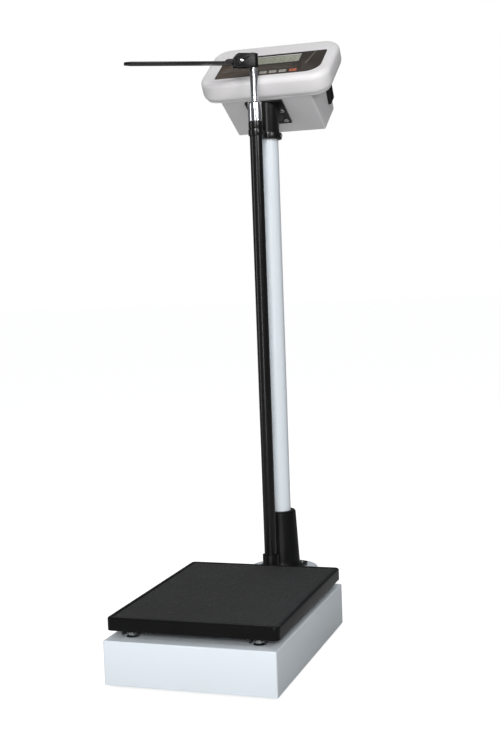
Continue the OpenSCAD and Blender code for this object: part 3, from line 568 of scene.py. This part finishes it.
rod_paint = Finish("gloss_rod_paint", linear(11, 10, 10), roughness=0.25, specular_ior_level=0.4,
                   coat_roughness=0.06)
rod_smear = rod_paint.noise(0.04, 5, rod_paint.place(stretch=(1, 1, 0.25)))
rod_paint.vary_colour(rod_smear * 0.5, linear(20, 18, 18))
rod_paint.vary("Roughness", rod_smear * 0.16 + 0.2)
rod_paint.vary("Coat Weight", 0.2 - rod_smear * 0.15)
rod_paint.relief(rod_paint.noise(3 * MM, 1), 0.03 * MM, 0.25)

soften("column_bracket", rod_paint, BRACKET_EDGE, 3)
soften("rod_clamp", rod_paint, CLAMP_EDGE)
for screws in ("bracket_screws", "rod_clamp_screws"):
    soften(screws, zinc, SCREW_EDGE)

# ---- Height rod ----
# A fixed tube painted gloss black, with a collar. Inside it slide a plated middle tube, with a thick ferrule
# on top, and a plated inner rod. Both carry a printed scale that reads in centimetres above the mat.

OUTER_BORE_SHARE = 10 / 11
MIDDLE_BORE_SHARE = 8 / 9
COLLAR_EDGE = 0.7 * MM

shown("rod_outer_tube_piece", tube("rod_outer_tube", OUTER_BORE_SHARE), rod_paint, "rod_outer_tube")
soften("rod_collar", rod_paint, COLLAR_EDGE, 3)

nylon = Finish("natural_nylon", linear(222, 216, 198), roughness=0.5, subsurface_weight=0.1)
nylon_cloud = nylon.noise(5 * MM, 3)
nylon.vary_colour(nylon_cloud * 0.6, linear(206, 198, 176))
nylon.vary("Roughness", nylon_cloud * 0.2 + 0.4)
dress(nylon, "outer_guide_bush", "middle_slider", "inner_slider")

plating = Finish("bright_plating", linear(226, 228, 231), metallic=1.0, roughness=0.1)
plating_haze = plating.noise(8 * MM, 5)
plating.vary_colour(plating_haze * 0.5, linear(206, 208, 212))
plating.vary("Roughness", plating_haze * 0.14 + 0.05)

ferrule_low, ferrule_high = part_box("middle_ferrule")
ferrule_r = (ferrule_high.x - ferrule_low.x) / 2
rod_axis = ((ferrule_low.x + ferrule_high.x) / 2, (ferrule_low.y + ferrule_high.y) / 2)
lip_r = (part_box("inner_rod")[1].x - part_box("inner_rod")[0].x) / 2 + 0.3 * MM
low, high = ferrule_low.z, ferrule_high.z
ferrule = turned([
    (ferrule_r - 3 * MM, low + 0.4 * MM), (ferrule_r - 2.4 * MM, low), (ferrule_r - 0.5 * MM, low),
    (ferrule_r, low + 0.5 * MM), (ferrule_r, low + 3.5 * MM), (ferrule_r - 0.6 * MM, low + 4 * MM),
    (ferrule_r - 0.6 * MM, low + 5 * MM), (ferrule_r, low + 5.5 * MM), (ferrule_r, high - 3.2 * MM),
    (ferrule_r - 0.5 * MM, high - 1.4 * MM), (ferrule_r - 1.6 * MM, high - 0.4 * MM),
    (ferrule_r - 2.8 * MM, high), (lip_r + 0.5 * MM, high), (lip_r, high - 0.5 * MM), (lip_r, high - 6 * MM),
    (ferrule_r - 3 * MM, high - 7 * MM), (ferrule_r - 3 * MM, low + 0.4 * MM)], rod_axis, TUBE_STEPS)
shown("middle_ferrule_piece", ferrule, plating, "middle_ferrule")

MARK_STEP = 1 * MM
MARK_WIDTH = 0.22
TEXT_HEIGHT = 3.4 * MM
TEXT_DEPTH = 0.03 * MM
MARK_LEFT = -3.4 * MM
MARK_SHORT = 1.7 * MM
MARK_STEP_OUT = 0.9 * MM
SLIDER_LENGTH = 30 * MM
mat_top = mat_high.z
arm_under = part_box("measuring_arm")[0].z
collar_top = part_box("rod_collar")[1].z
slides = {joint["name"]: joint["range_m"][1] for joint in frame["joints"] if joint["type"] == "slide"}


def ruled(name, reading_zero):
    """Plated metal with printed marks. reading_zero is the height at which the scale would read nothing."""
    finish = Finish(name, linear(222, 224, 228), metallic=1.0, roughness=0.2)
    x, y, z = finish.axes(finish.place())
    haze = finish.noise(6 * MM, 4)
    down = (reading_zero - z) / MARK_STEP
    on_line = abs(down.part() - 0.5) > 0.5 - MARK_WIDTH / 2
    fifth = abs((down / 5).part() - 0.5) > 0.5 - MARK_WIDTH / 10
    tenth = abs((down / 10).part() - 0.5) > 0.5 - MARK_WIDTH / 20
    reach = fifth * MARK_STEP_OUT + tenth * MARK_STEP_OUT + (MARK_LEFT + MARK_SHORT)
    marks = on_line * (x > MARK_LEFT) * (x < reach) * (y < rod_axis[1])
    finish.vary_colour(marks, linear(22, 22, 24))
    finish.vary("Metallic", 1 - marks)
    finish.vary("Roughness", haze * 0.16 + marks * 0.3 + 0.1)
    return finish


def scale_numbers(name, node, finish, low, high, reading_zero):
    """The printed centimetre numbers between two heights, wrapped round the front of a rod."""
    radius = (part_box(node)[1].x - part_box(node)[0].x) / 2
    centimetre = 10 * MM
    bm = bmesh.new()
    first_reading = math.ceil((reading_zero - high) / centimetre)
    last_reading = int((reading_zero - low) / centimetre)
    for reading in range(first_reading, last_reading + 1):
        text = bpy.data.curves.new("number", "FONT")
        text.body = str(reading)
        text.size = TEXT_HEIGHT
        text.extrude = TEXT_DEPTH / 2
        text.resolution_u = 2
        holder = bpy.data.objects.new("number", text)
        printed = holder.to_mesh()
        first = len(bm.verts)
        bm.from_mesh(printed)
        bm.verts.ensure_lookup_table()
        for vert in bm.verts[first:]:
            angle = (vert.co.x + 0.3 * MM) / radius
            out = radius + TEXT_DEPTH / 2 + vert.co.z
            height = reading_zero - reading * centimetre + vert.co.y - TEXT_HEIGHT * 0.36
            vert.co = (rod_axis[0] + out * math.sin(angle), rod_axis[1] - out * math.cos(angle), height)
        holder.to_mesh_clear()
        bpy.data.objects.remove(holder)
        bpy.data.curves.remove(text)
    bmesh.ops.remove_doubles(bm, verts=bm.verts, dist=MERGE)
    bmesh.ops.recalc_face_normals(bm, faces=bm.faces)
    mesh = bpy.data.meshes.new(name)
    bm.to_mesh(mesh)
    bm.free()
    made = bpy.data.objects.new(name, mesh)
    scene.collection.objects.link(made)
    mesh.materials.append(finish.material)
    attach(made, body_of[node])


ink = Finish("printing_ink", linear(24, 24, 26), roughness=0.5)
ink.vary("Roughness", ink.noise(0.5 * MM) * 0.3 + 0.35)

inner_zero = arm_under - mat_top + ferrule_high.z
middle_zero = arm_under - mat_top + slides["inner_stage_slide"] + collar_top
inner_low, middle_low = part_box("inner_rod")[0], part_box("middle_tube")[0]
soften("inner_rod", ruled("ruled_inner_rod", inner_zero), TUBE_LIP)
middle_piece = tube("middle_tube", MIDDLE_BORE_SHARE, TUBE_LIP)
shown("middle_tube_piece", middle_piece, ruled("ruled_middle_tube", middle_zero), "middle_tube")
head_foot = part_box("arm_head")[0].z
scale_numbers("inner_rod_numbers", "inner_rod", ink, inner_low.z + SLIDER_LENGTH, head_foot - 3 * MM,
              inner_zero)
scale_numbers("middle_tube_numbers", "middle_tube", ink, middle_low.z + SLIDER_LENGTH, collar_top - 5 * MM,
              middle_zero)

# ---- Arm head and measuring arm ----
# A black moulded head turns on the rod. The arm, a flat bar of black anodised aluminium, folds down on a
# bright pivot screw.

HEAD_EDGE = 0.7 * MM
ARM_EDGE = 0.6 * MM
ARM_TURN = math.radians(-28)

head_plastic = Finish("head_plastic", linear(11, 11, 11), roughness=0.24, specular_ior_level=0.25)
head_smear = head_plastic.noise(0.012, 5)
head_plastic.vary_colour(head_smear * 0.5, linear(27, 27, 28))
head_plastic.vary("Roughness", head_smear * 0.2 + 0.18)
head_plastic.relief(head_plastic.noise(0.7 * MM, 3), 0.03 * MM, 0.35)

arm_black = Finish("black_anodised", linear(17, 15, 14), metallic=0.3, roughness=0.34,
                   specular_ior_level=0.3)
arm_grain = arm_black.noise(0.6 * MM, 3, arm_black.place(turn=(0, 0, ARM_TURN), stretch=(0.06, 1, 1)))
arm_black.vary_colour(arm_grain * 0.6, linear(28, 24, 23))
arm_black.vary("Roughness", arm_grain * 0.25 + 0.24)
arm_black.relief(arm_grain, 0.02 * MM, 0.5)

soften("arm_head", head_plastic, HEAD_EDGE, 3)
soften("measuring_arm", arm_black, ARM_EDGE, 3)
for screws in ("arm_pivot", "head_screw"):
    soften(screws, zinc, SCREW_EDGE)

# ---- Display head: front bezel ----
# A light grey-white moulding with large soft corners, tilted back towards the reader. Its face has a shallow
# recess for the overlay, an opening for the display and four for the keys. Screw posts stand inside it.

BEZEL_W = 242 * MM
BEZEL_L = 150 * MM
BEZEL_H = 38 * MM
BEZEL_CORNER = 34 * MM
BEZEL_ROUND = 11 * MM
BEZEL_TAPER = 5 * MM
SKIRT_TOP = 9 * MM
SHELL = 2.5 * MM
CORNER_STEPS = 24
ROUND_LEVELS = 8
OVERLAY_CENTRE = Vector((6, 61)) * MM
OVERLAY_SIZE = Vector((194, 86)) * MM
OVERLAY_T = 1 * MM
OVERLAY_SMALL = 4 * MM
OVERLAY_BIG = 28 * MM
DISPLAY_CENTRE = Vector((2, 82)) * MM
DISPLAY_SIZE = Vector((110, 34)) * MM
WINDOW_T = 1.5 * MM
KEY_X = [x * MM for x in (-1.5, 16.5, 34.5, 54)]
KEY_Y = 30 * MM
KEY_SIZE = Vector((14, 9)) * MM
POST_X = 102 * MM
POST_Y = 24 * MM
POST_R = 5 * MM
POST_HOLE_R = 2.2 * MM
BOARD_TOP = 30.4 * MM
BOARD_POST_X = 84 * MM
BOARD_POST_R = 4 * MM
BOARD_POST_Y = (32 * MM, 112 * MM)
OVERLAY_FIT = 0.1 * MM
DISPLAY_FIT = 0.2 * MM
DISPLAY_CORNER = 2.2 * MM
KEY_FIT = 0.4 * MM
KEY_CORNER = 1.9 * MM

press_axis = next(joint["axis"] for joint in frame["joints"] if joint["name"] == "zero_key_press")
tilt = math.atan2(-press_axis[1], press_axis[2])
window_low, window_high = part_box("display_window")
head_turn = Matrix.Rotation(tilt, 4, "X")
window_seat = Vector((DISPLAY_CENTRE.x, DISPLAY_CENTRE.y, BEZEL_H - SHELL + WINDOW_T / 2))
head_origin = (window_low + window_high) / 2 - head_turn @ window_seat
to_head = Matrix.Translation(head_origin) @ head_turn


def ring(bm, width, length, corner, height, centre=(0, 0)):
    """A closed loop of edges round a rectangle with round corners. Returns its edges."""
    turn = Matrix.Rotation(math.pi / (4 * CORNER_STEPS), 4, "Z")
    verts = bmesh.ops.create_circle(bm, radius=corner, segments=4 * CORNER_STEPS, matrix=turn)["verts"]
    for vert in verts:
        vert.co.x += math.copysign(width / 2 - corner, vert.co.x) + centre[0]
        vert.co.y += math.copysign(length / 2 - corner, vert.co.y) + centre[1]
        vert.co.z = height
    return list({edge for vert in verts for edge in vert.link_edges})


def lofted(bm, rings):
    """Joins rings in a row, and caps the first and the last."""
    for lower, upper in zip(rings, rings[1:]):
        bmesh.ops.bridge_loops(bm, edges=lower + upper)
    for end in (rings[0], rings[-1]):
        bmesh.ops.edgeloop_fill(bm, edges=end)
    bmesh.ops.recalc_face_normals(bm, faces=bm.faces)


def block(bm, size, corner, low, high, centre=(0, 0)):
    """A plate with round corners between two heights."""
    part = bmesh.new()
    lofted(part, [ring(part, size[0], size[1], corner, z, centre) for z in (low, high)])
    add(bm, part)


def add(bm, part):
    """Adds one bmesh to another, and frees it."""
    carrier = bpy.data.meshes.new("part")
    part.to_mesh(carrier)
    part.free()
    bm.from_mesh(carrier)
    bpy.data.meshes.remove(carrier)


def peg(bm, radius, low, high, centre, place=None):
    """A round peg between two heights, in a place of its own if one is given."""
    matrix = (place or Matrix()) @ Matrix.Translation((centre[0], centre[1], (low + high) / 2))
    bmesh.ops.create_cone(bm, cap_ends=True, segments=32, radius1=radius, radius2=radius, depth=high - low,
                          matrix=matrix)


def carved(bm, operation, tool):
    """The first shape joined to the second, or cut by it."""
    holders = []
    for part in (bm, tool):
        mesh = bpy.data.meshes.new("carving")
        part.to_mesh(mesh)
        part.free()
        holder = bpy.data.objects.new("carving", mesh)
        scene.collection.objects.link(holder)
        holders.append(holder)
    change = holders[0].modifiers.new("carve", "BOOLEAN")
    change.operation, change.solver, change.object = operation, "EXACT", holders[1]
    bpy.context.view_layer.update()
    result = bmesh.new()
    result.from_object(holders[0], bpy.context.evaluated_depsgraph_get())
    for holder in holders:
        mesh = holder.data
        bpy.data.objects.remove(holder)
        bpy.data.meshes.remove(mesh)
    bmesh.ops.remove_doubles(result, verts=result.verts, dist=MERGE)
    bmesh.ops.dissolve_limit(result, angle_limit=FLAT / 6, verts=result.verts, edges=result.edges)
    return result


def bezel_rings(bm, wall, low, high):
    """The bezel's outline at each height, shrunk by a wall."""
    centre = (0, BEZEL_L / 2)
    levels = [(low, BEZEL_TAPER), (low + SKIRT_TOP * 0.45, BEZEL_TAPER * 0.3), (low + SKIRT_TOP, 0)]
    for step in range(ROUND_LEVELS + 1):
        angle = math.radians(90 * step / ROUND_LEVELS)
        height = high - BEZEL_ROUND + BEZEL_ROUND * math.sin(angle)
        levels.append((height, BEZEL_ROUND * (1 - math.cos(angle))))
    rings = []
    for height, inset in levels:
        shrink = inset + wall
        width, length = BEZEL_W - 2 * shrink, BEZEL_L - 2 * shrink
        rings.append(ring(bm, width, length, BEZEL_CORNER - shrink, height, centre))
    return rings


def overlay_shape(bm, low, high, grow=0.0):
    """The overlay's plate: small corners, and one large one at the lower right."""
    size = OVERLAY_SIZE + Vector((2 * grow, 2 * grow))
    corner, extra = OVERLAY_SMALL + grow, OVERLAY_BIG - OVERLAY_SMALL
    part = bmesh.new()
    rings = []
    for height in (low, high):
        loop = ring(part, size.x, size.y, corner, height)
        pivot = Vector((size.x / 2 - corner, -size.y / 2 + corner, height))
        for vert in {vert for edge in loop for vert in edge.verts}:
            if vert.co.x > 0 > vert.co.y:
                vert.co += (vert.co - pivot).normalized() * extra + Vector((-extra, extra, 0))
        rings.append(loop)
    lofted(part, rings)
    bmesh.ops.translate(part, vec=OVERLAY_CENTRE.to_3d(), verts=part.verts)
    add(bm, part)


housing_white = Finish("housing_white", linear(241, 239, 240), roughness=0.42)
housing_smear = housing_white.noise(0.06, 5)
housing_white.vary_colour(housing_smear * 0.55, linear(232, 229, 230))
housing_white.vary("Roughness", housing_smear * 0.18 + 0.34)
housing_white.relief(housing_white.noise(0.5 * MM, 3), 0.03 * MM, 0.5)

bezel = bmesh.new()
lofted(bezel, bezel_rings(bezel, 0, 0, BEZEL_H))
hollow = bmesh.new()
lofted(hollow, bezel_rings(hollow, SHELL, -2 * MM, BEZEL_H - SHELL))
bezel = carved(bezel, "DIFFERENCE", hollow)
posts = bmesh.new()
for side in (-1, 1):
    for up_slope in (POST_Y, BEZEL_L - POST_Y):
        peg(posts, POST_R, 0, BEZEL_H - SHELL / 2, (side * POST_X, up_slope))
    for up_slope in BOARD_POST_Y:
        peg(posts, BOARD_POST_R, BOARD_TOP, BEZEL_H - SHELL / 2, (side * BOARD_POST_X, up_slope))
bezel = carved(bezel, "UNION", posts)
recess = bmesh.new()
overlay_shape(recess, BEZEL_H - OVERLAY_T, BEZEL_H + 2 * MM, OVERLAY_FIT)
bezel = carved(bezel, "DIFFERENCE", recess)
cuts = bmesh.new()
cut_low, cut_high = BEZEL_H - SHELL - 1 * MM, BEZEL_H - OVERLAY_T + 0.5 * MM
display_cut = DISPLAY_SIZE + Vector((2 * DISPLAY_FIT, 2 * DISPLAY_FIT))
key_cut = KEY_SIZE + Vector((2 * KEY_FIT, 2 * KEY_FIT))
block(cuts, display_cut, DISPLAY_CORNER, cut_low, cut_high, DISPLAY_CENTRE)
for key_x in KEY_X:
    block(cuts, key_cut, KEY_CORNER, cut_low, cut_high, (key_x, KEY_Y))
bezel = carved(bezel, "DIFFERENCE", cuts)
bmesh.ops.transform(bezel, matrix=to_head, verts=bezel.verts)
shown("front_bezel_shell", bezel, housing_white, "front_bezel")

# ---- Display head: rear housing ----
# The lid that closes the bezel, moulded in one with a deep wedge-shaped box. The wedge's front wall sits on
# the column's bracket, and its right wall holds the mains inlet.

POD_W = 170 * MM
POD_D = 98 * MM
POD_FRONT = 6 * MM
POD_BACK = BEZEL_L - 8 * MM
POD_SLOPE = math.radians(60.6)
POD_EDGE = 3.2 * MM
INLET_AT = Vector((POD_W / 2, 121 * MM, -54 * MM))
INLET_CUT = (10 * MM, 22.4 * MM, 27.4 * MM, 1)
CABLE_HOLE_R = 8 * MM
CABLE_HOLE_REACH = 45 * MM


def wedge(wall, top):
    """The wedge's solid, shrunk by a wall and reaching up to top."""
    bm = bmesh.new()
    front = POD_FRONT + wall / math.sin(POD_SLOPE)
    low = -POD_D + wall
    side_view = [(front - top / math.tan(POD_SLOPE), top), (front - low / math.tan(POD_SLOPE), low),
                 (POD_BACK - wall, low), (POD_BACK - wall, top)]
    half = POD_W / 2 - wall
    face = bm.faces.new([bm.verts.new((-half, y, z)) for y, z in side_view])
    grown = bmesh.ops.extrude_face_region(bm, geom=[face])["geom"]
    far_side = [part for part in grown if isinstance(part, bmesh.types.BMVert)]
    bmesh.ops.translate(bm, vec=(2 * half, 0, 0), verts=far_side)
    bmesh.ops.recalc_face_normals(bm, faces=bm.faces)
    return bm


pod = wedge(0, -1 * MM)
round_edges(pod, POD_EDGE, 5, lambda middle: middle.z < -1.5 * MM)
lid = bmesh.new()
lid_centre = (0, BEZEL_L / 2)
lid_w, lid_l, lid_corner = BEZEL_W - 2 * BEZEL_TAPER, BEZEL_L - 2 * BEZEL_TAPER, BEZEL_CORNER - BEZEL_TAPER
lid_levels = ((-SHELL, 1.2 * MM), (-SHELL + 0.4 * MM, 0.4 * MM), (-SHELL + 1.2 * MM, 0), (0, 0))
lofted(lid, [ring(lid, lid_w - 2 * inset, lid_l - 2 * inset, lid_corner - inset, height, lid_centre)
             for height, inset in lid_levels])
pod = carved(pod, "UNION", lid)
pod = carved(pod, "DIFFERENCE", wedge(SHELL, 1 * MM))
holes = bmesh.new()
for side in (-1, 1):
    for up_slope in (POST_Y, BEZEL_L - POST_Y):
        peg(holes, POST_HOLE_R, -SHELL - 1 * MM, 1 * MM, (side * POST_X, up_slope))
bmesh.ops.create_cube(holes, size=1, matrix=Matrix.Translation(INLET_AT) @ Matrix.Diagonal(INLET_CUT))
column_low, column_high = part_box("column_tube")
column_axis = ((column_low.x + column_high.x) / 2, (column_low.y + column_high.y) / 2)
peg(holes, CABLE_HOLE_R, column_high.z, column_high.z + CABLE_HOLE_REACH, column_axis, to_head.inverted())
pod = carved(pod, "DIFFERENCE", holes)
bmesh.ops.transform(pod, matrix=to_head, verts=pod.verts)
shown("rear_housing_shell", pod, housing_white, "rear_housing")
soften("housing_screws", zinc, SCREW_EDGE)

# ---- Display head: overlay panel ----
# Dark brown polyester film with a fine emboss, printed on its back with three pinstripes, a slanted divider
# and a thin frame round the display. It has a hole for each key.

STRIPES = [v * MM for v in (56.5, 51, 45.5)]
STRIPE_START, STRIPE_END = -88 * MM, 48 * MM
LINE_HALF = 0.35 * MM
DIVIDER_FOOT = Vector((72, 54)) * MM
DIVIDER_LEAN = 0.21
DIVIDER_HALF = 0.6 * MM
DIVIDER_TOP = 101 * MM
FRAME_GAP = 2 * MM


def head_place(finish):
    """The point on a piece of the display head, in the head's own directions."""
    return finish.place(move=-(head_turn.inverted() @ head_origin), turn=(-tilt, 0, 0))


film = Finish("printed_film", linear(54, 45, 37), roughness=0.3, coat_roughness=0.15)
film_x, film_y = film.axes(head_place(film))[:2]
film_smear = film.noise(0.04, 4)
# Painted sheen: the film is lightened towards its lower left, standing in for a lamp's reflection on the glossy
# film.
film_painted_sheen = ((film_x * -4.2 - film_y * 5.5 + 0.32) + (film_smear - 0.5) * 0.3).most(0).least(1)
film_with_painted_sheen = film.blend(film_painted_sheen, film.colour, linear(96, 80, 68))
stripe = abs(film_y - STRIPES[0]) < LINE_HALF
for stripe_y in STRIPES[1:]:
    stripe = stripe.most(abs(film_y - stripe_y) < LINE_HALF)
stripe = stripe * (film_x < STRIPE_END) * (film_x > STRIPE_START)
divider = abs((film_y - DIVIDER_FOOT.y) * DIVIDER_LEAN + DIVIDER_FOOT.x - film_x) < DIVIDER_HALF
divider = divider * (film_y > DIVIDER_FOOT.y) * (film_y < DIVIDER_TOP)
frame_x = abs(film_x - DISPLAY_CENTRE.x) - DISPLAY_SIZE.x / 2
frame_y = abs(film_y - DISPLAY_CENTRE.y) - DISPLAY_SIZE.y / 2
dark_frame = frame_x.most(frame_y) < FRAME_GAP
print_mask = (stripe * 0.55).most(divider * 0.8)
printed = film.blend(print_mask, film_with_painted_sheen, linear(176, 166, 146))
film.vary("Base Color", film.blend(dark_frame * 0.85, printed, linear(30, 27, 24)))
film.vary("Roughness", film_smear * 0.2 + 0.22)
film.vary("Coat Weight", 0.5 - film_smear * 0.3)
film.relief(film.noise(0.45 * MM, 2), 0.02 * MM, 0.4)
soften("overlay_panel", film, 0.15 * MM)

# ---- Display window and liquid crystal module ----
# A clear acrylic window over a grey-green glass module, whose five resting digits show as faint segments.

DIGITS = 5
DIGIT_PITCH = 19 * MM
DIGIT_SIZE = Vector((11, 22)) * MM
SEGMENT_T = 2.2 * MM
SEGMENT_GAP = 0.5 * MM
SEGMENT_THICK = 0.06 * MM
DIGIT_LEAN = 0.1

acrylic = Finish("clear_acrylic", (0.6, 0.62, 0.58, 1), roughness=0.06, alpha=0.1)
acrylic.vary("Roughness", acrylic.noise(0.03, 4) * 0.08 + 0.03)
soften("display_window", acrylic, 0.2 * MM)

crystal = Finish("resting_crystal", linear(152, 152, 130), roughness=0.3)
crystal_x, crystal_y = crystal.axes(head_place(crystal))[:2]
# Painted sheen: the crystal gets lighter towards its upper right, standing in for a lamp's reflection.
crystal_painted_sheen = (crystal_x - DISPLAY_CENTRE.x) * 7 + (crystal_y - DISPLAY_CENTRE.y) * 12 + 0.4
crystal.vary_colour(crystal_painted_sheen.most(0).least(1), linear(176, 177, 160))
crystal.vary("Roughness", crystal.noise(1 * MM, 3) * 0.2 + 0.22)
soften("lcd_module", crystal, 0.3 * MM)

segments = bmesh.new()
crystal_top = BEZEL_H - SHELL - 0.7 * MM
half_w, half_h = (DIGIT_SIZE.x - SEGMENT_T) / 2, (DIGIT_SIZE.y - SEGMENT_T) / 2
bar_w, bar_h = DIGIT_SIZE.x - 2 * SEGMENT_T - 2 * SEGMENT_GAP, half_h - SEGMENT_T - SEGMENT_GAP
for digit in range(DIGITS):
    middle_x = DISPLAY_CENTRE.x + (digit - (DIGITS - 1) / 2) * DIGIT_PITCH
    bars = [(0, row * half_h, bar_w, SEGMENT_T) for row in (-1, 0, 1)]
    bars += [(side * half_w, row * half_h / 2, SEGMENT_T, bar_h) for side in (-1, 1) for row in (-1, 1)]
    for bar_x, bar_y, width, height in bars:
        place = Matrix.Translation((middle_x + bar_x + bar_y * DIGIT_LEAN, DISPLAY_CENTRE.y + bar_y,
                                    crystal_top + 0.02 * MM))
        bar_size = Matrix.Diagonal((width, height, SEGMENT_THICK, 1))
        bmesh.ops.create_cube(segments, size=1, matrix=place @ bar_size)
bmesh.ops.transform(segments, matrix=to_head, verts=segments.verts)
segment_shade = Finish("resting_segments", linear(141, 142, 121), roughness=0.35)
segment_shade.vary("Roughness", segment_shade.noise(1 * MM, 3) * 0.2 + 0.25)
segment_mesh = bpy.data.meshes.new("resting_digits")
segments.to_mesh(segment_mesh)
segments.free()
segment_piece = bpy.data.objects.new("resting_digits", segment_mesh)
scene.collection.objects.link(segment_piece)
segment_mesh.materials.append(segment_shade.material)
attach(segment_piece, body_of["lcd_module"])

# ---- Keys ----
# Four raised caps: three light grey, and the power key in orange.
# Each has a small printed sign and a soft edge.

KEY_EDGE = 0.9 * MM
KEY_SIGNS = {"zero_key": "ring", "hold_key": "bars", "unit_key": "arrows", "power_key": "power"}


def key_finish(name, colour, sign, key_x):
    """A key's film, with its sign printed in the middle."""
    finish = Finish(name, colour, roughness=0.4)
    x, y = finish.axes(head_place(finish))[:2]
    across_key, up_key = x - key_x, y - KEY_Y
    far = (across_key * across_key + up_key * up_key).math("SQRT", across_key * across_key + up_key * up_key)
    circle = abs(far - 2 * MM) < LINE_HALF
    stroke = (abs(across_key) < LINE_HALF) * (up_key > 0) * (up_key < 2.8 * MM)
    bars = (abs(abs(across_key) - 1.2 * MM) < 0.5 * MM) * (abs(up_key) < 2 * MM)
    line = (abs(abs(up_key) - 1 * MM) < 0.3 * MM) * (abs(across_key) < 3 * MM)
    signs = {"ring": circle, "bars": bars, "arrows": line, "power": circle.most(stroke)}
    finish.vary_colour(signs[sign] * 0.8, linear(60, 56, 54))
    finish.vary("Roughness", finish.noise(2 * MM, 3) * 0.2 + 0.32)
    finish.relief(finish.noise(0.4 * MM, 2), 0.02 * MM, 0.4)
    return finish


for (key_node, sign), key_x in zip(KEY_SIGNS.items(), KEY_X):
    tint = linear(190, 106, 76) if sign == "power" else linear(164, 161, 154)
    soften(key_node, key_finish(key_node + "_film", tint, sign, key_x), KEY_EDGE, 4)

# ---- Inside the display head ----
# The circuit board in green solder mask, the battery in its grey case, the black mains inlet in the right
# wall, and the cable that comes up inside the column.

PIN_PITCH = 2.54 * MM

board_mask = Finish("solder_mask", linear(28, 92, 58), roughness=0.35)
board_x, board_y = board_mask.axes(head_place(board_mask))[:2]
tracks = abs((board_x / PIN_PITCH).part() - 0.5) < 0.12
tracks = tracks.most(abs((board_y / (2 * PIN_PITCH)).part() - 0.5) < 0.06)
board_mask.vary_colour(tracks * 0.7, linear(58, 132, 84))
board_mask.relief(tracks, 0.03 * MM)
soften("circuit_board", board_mask, 0.2 * MM)

battery_case = Finish("battery_case", linear(74, 77, 82), roughness=0.5)
battery_case.vary("Roughness", battery_case.noise(1 * MM, 4) * 0.3 + 0.35)
battery_case.relief(battery_case.noise(0.7 * MM, 2), 0.05 * MM, 0.5)
soften("battery", battery_case, 0.8 * MM)

inlet_plastic = Finish("inlet_plastic", linear(20, 20, 21), roughness=0.35)
inlet_plastic.vary("Roughness", inlet_plastic.noise(2 * MM, 4) * 0.2 + 0.26)
inlet_plastic.relief(inlet_plastic.noise(0.5 * MM, 2), 0.03 * MM, 0.4)
soften("power_inlet", inlet_plastic, 0.6 * MM, 3)

cable_skin = Finish("cable_skin", linear(72, 72, 74), roughness=0.55)
cable_skin.vary("Roughness", cable_skin.noise(3 * MM, 3) * 0.3 + 0.4)
cable_skin.relief(cable_skin.noise(0.5 * MM, 2), 0.03 * MM, 0.4)
soften("signal_cable", cable_skin, 0.2 * MM)
dress(rubber, "cable_grommet")
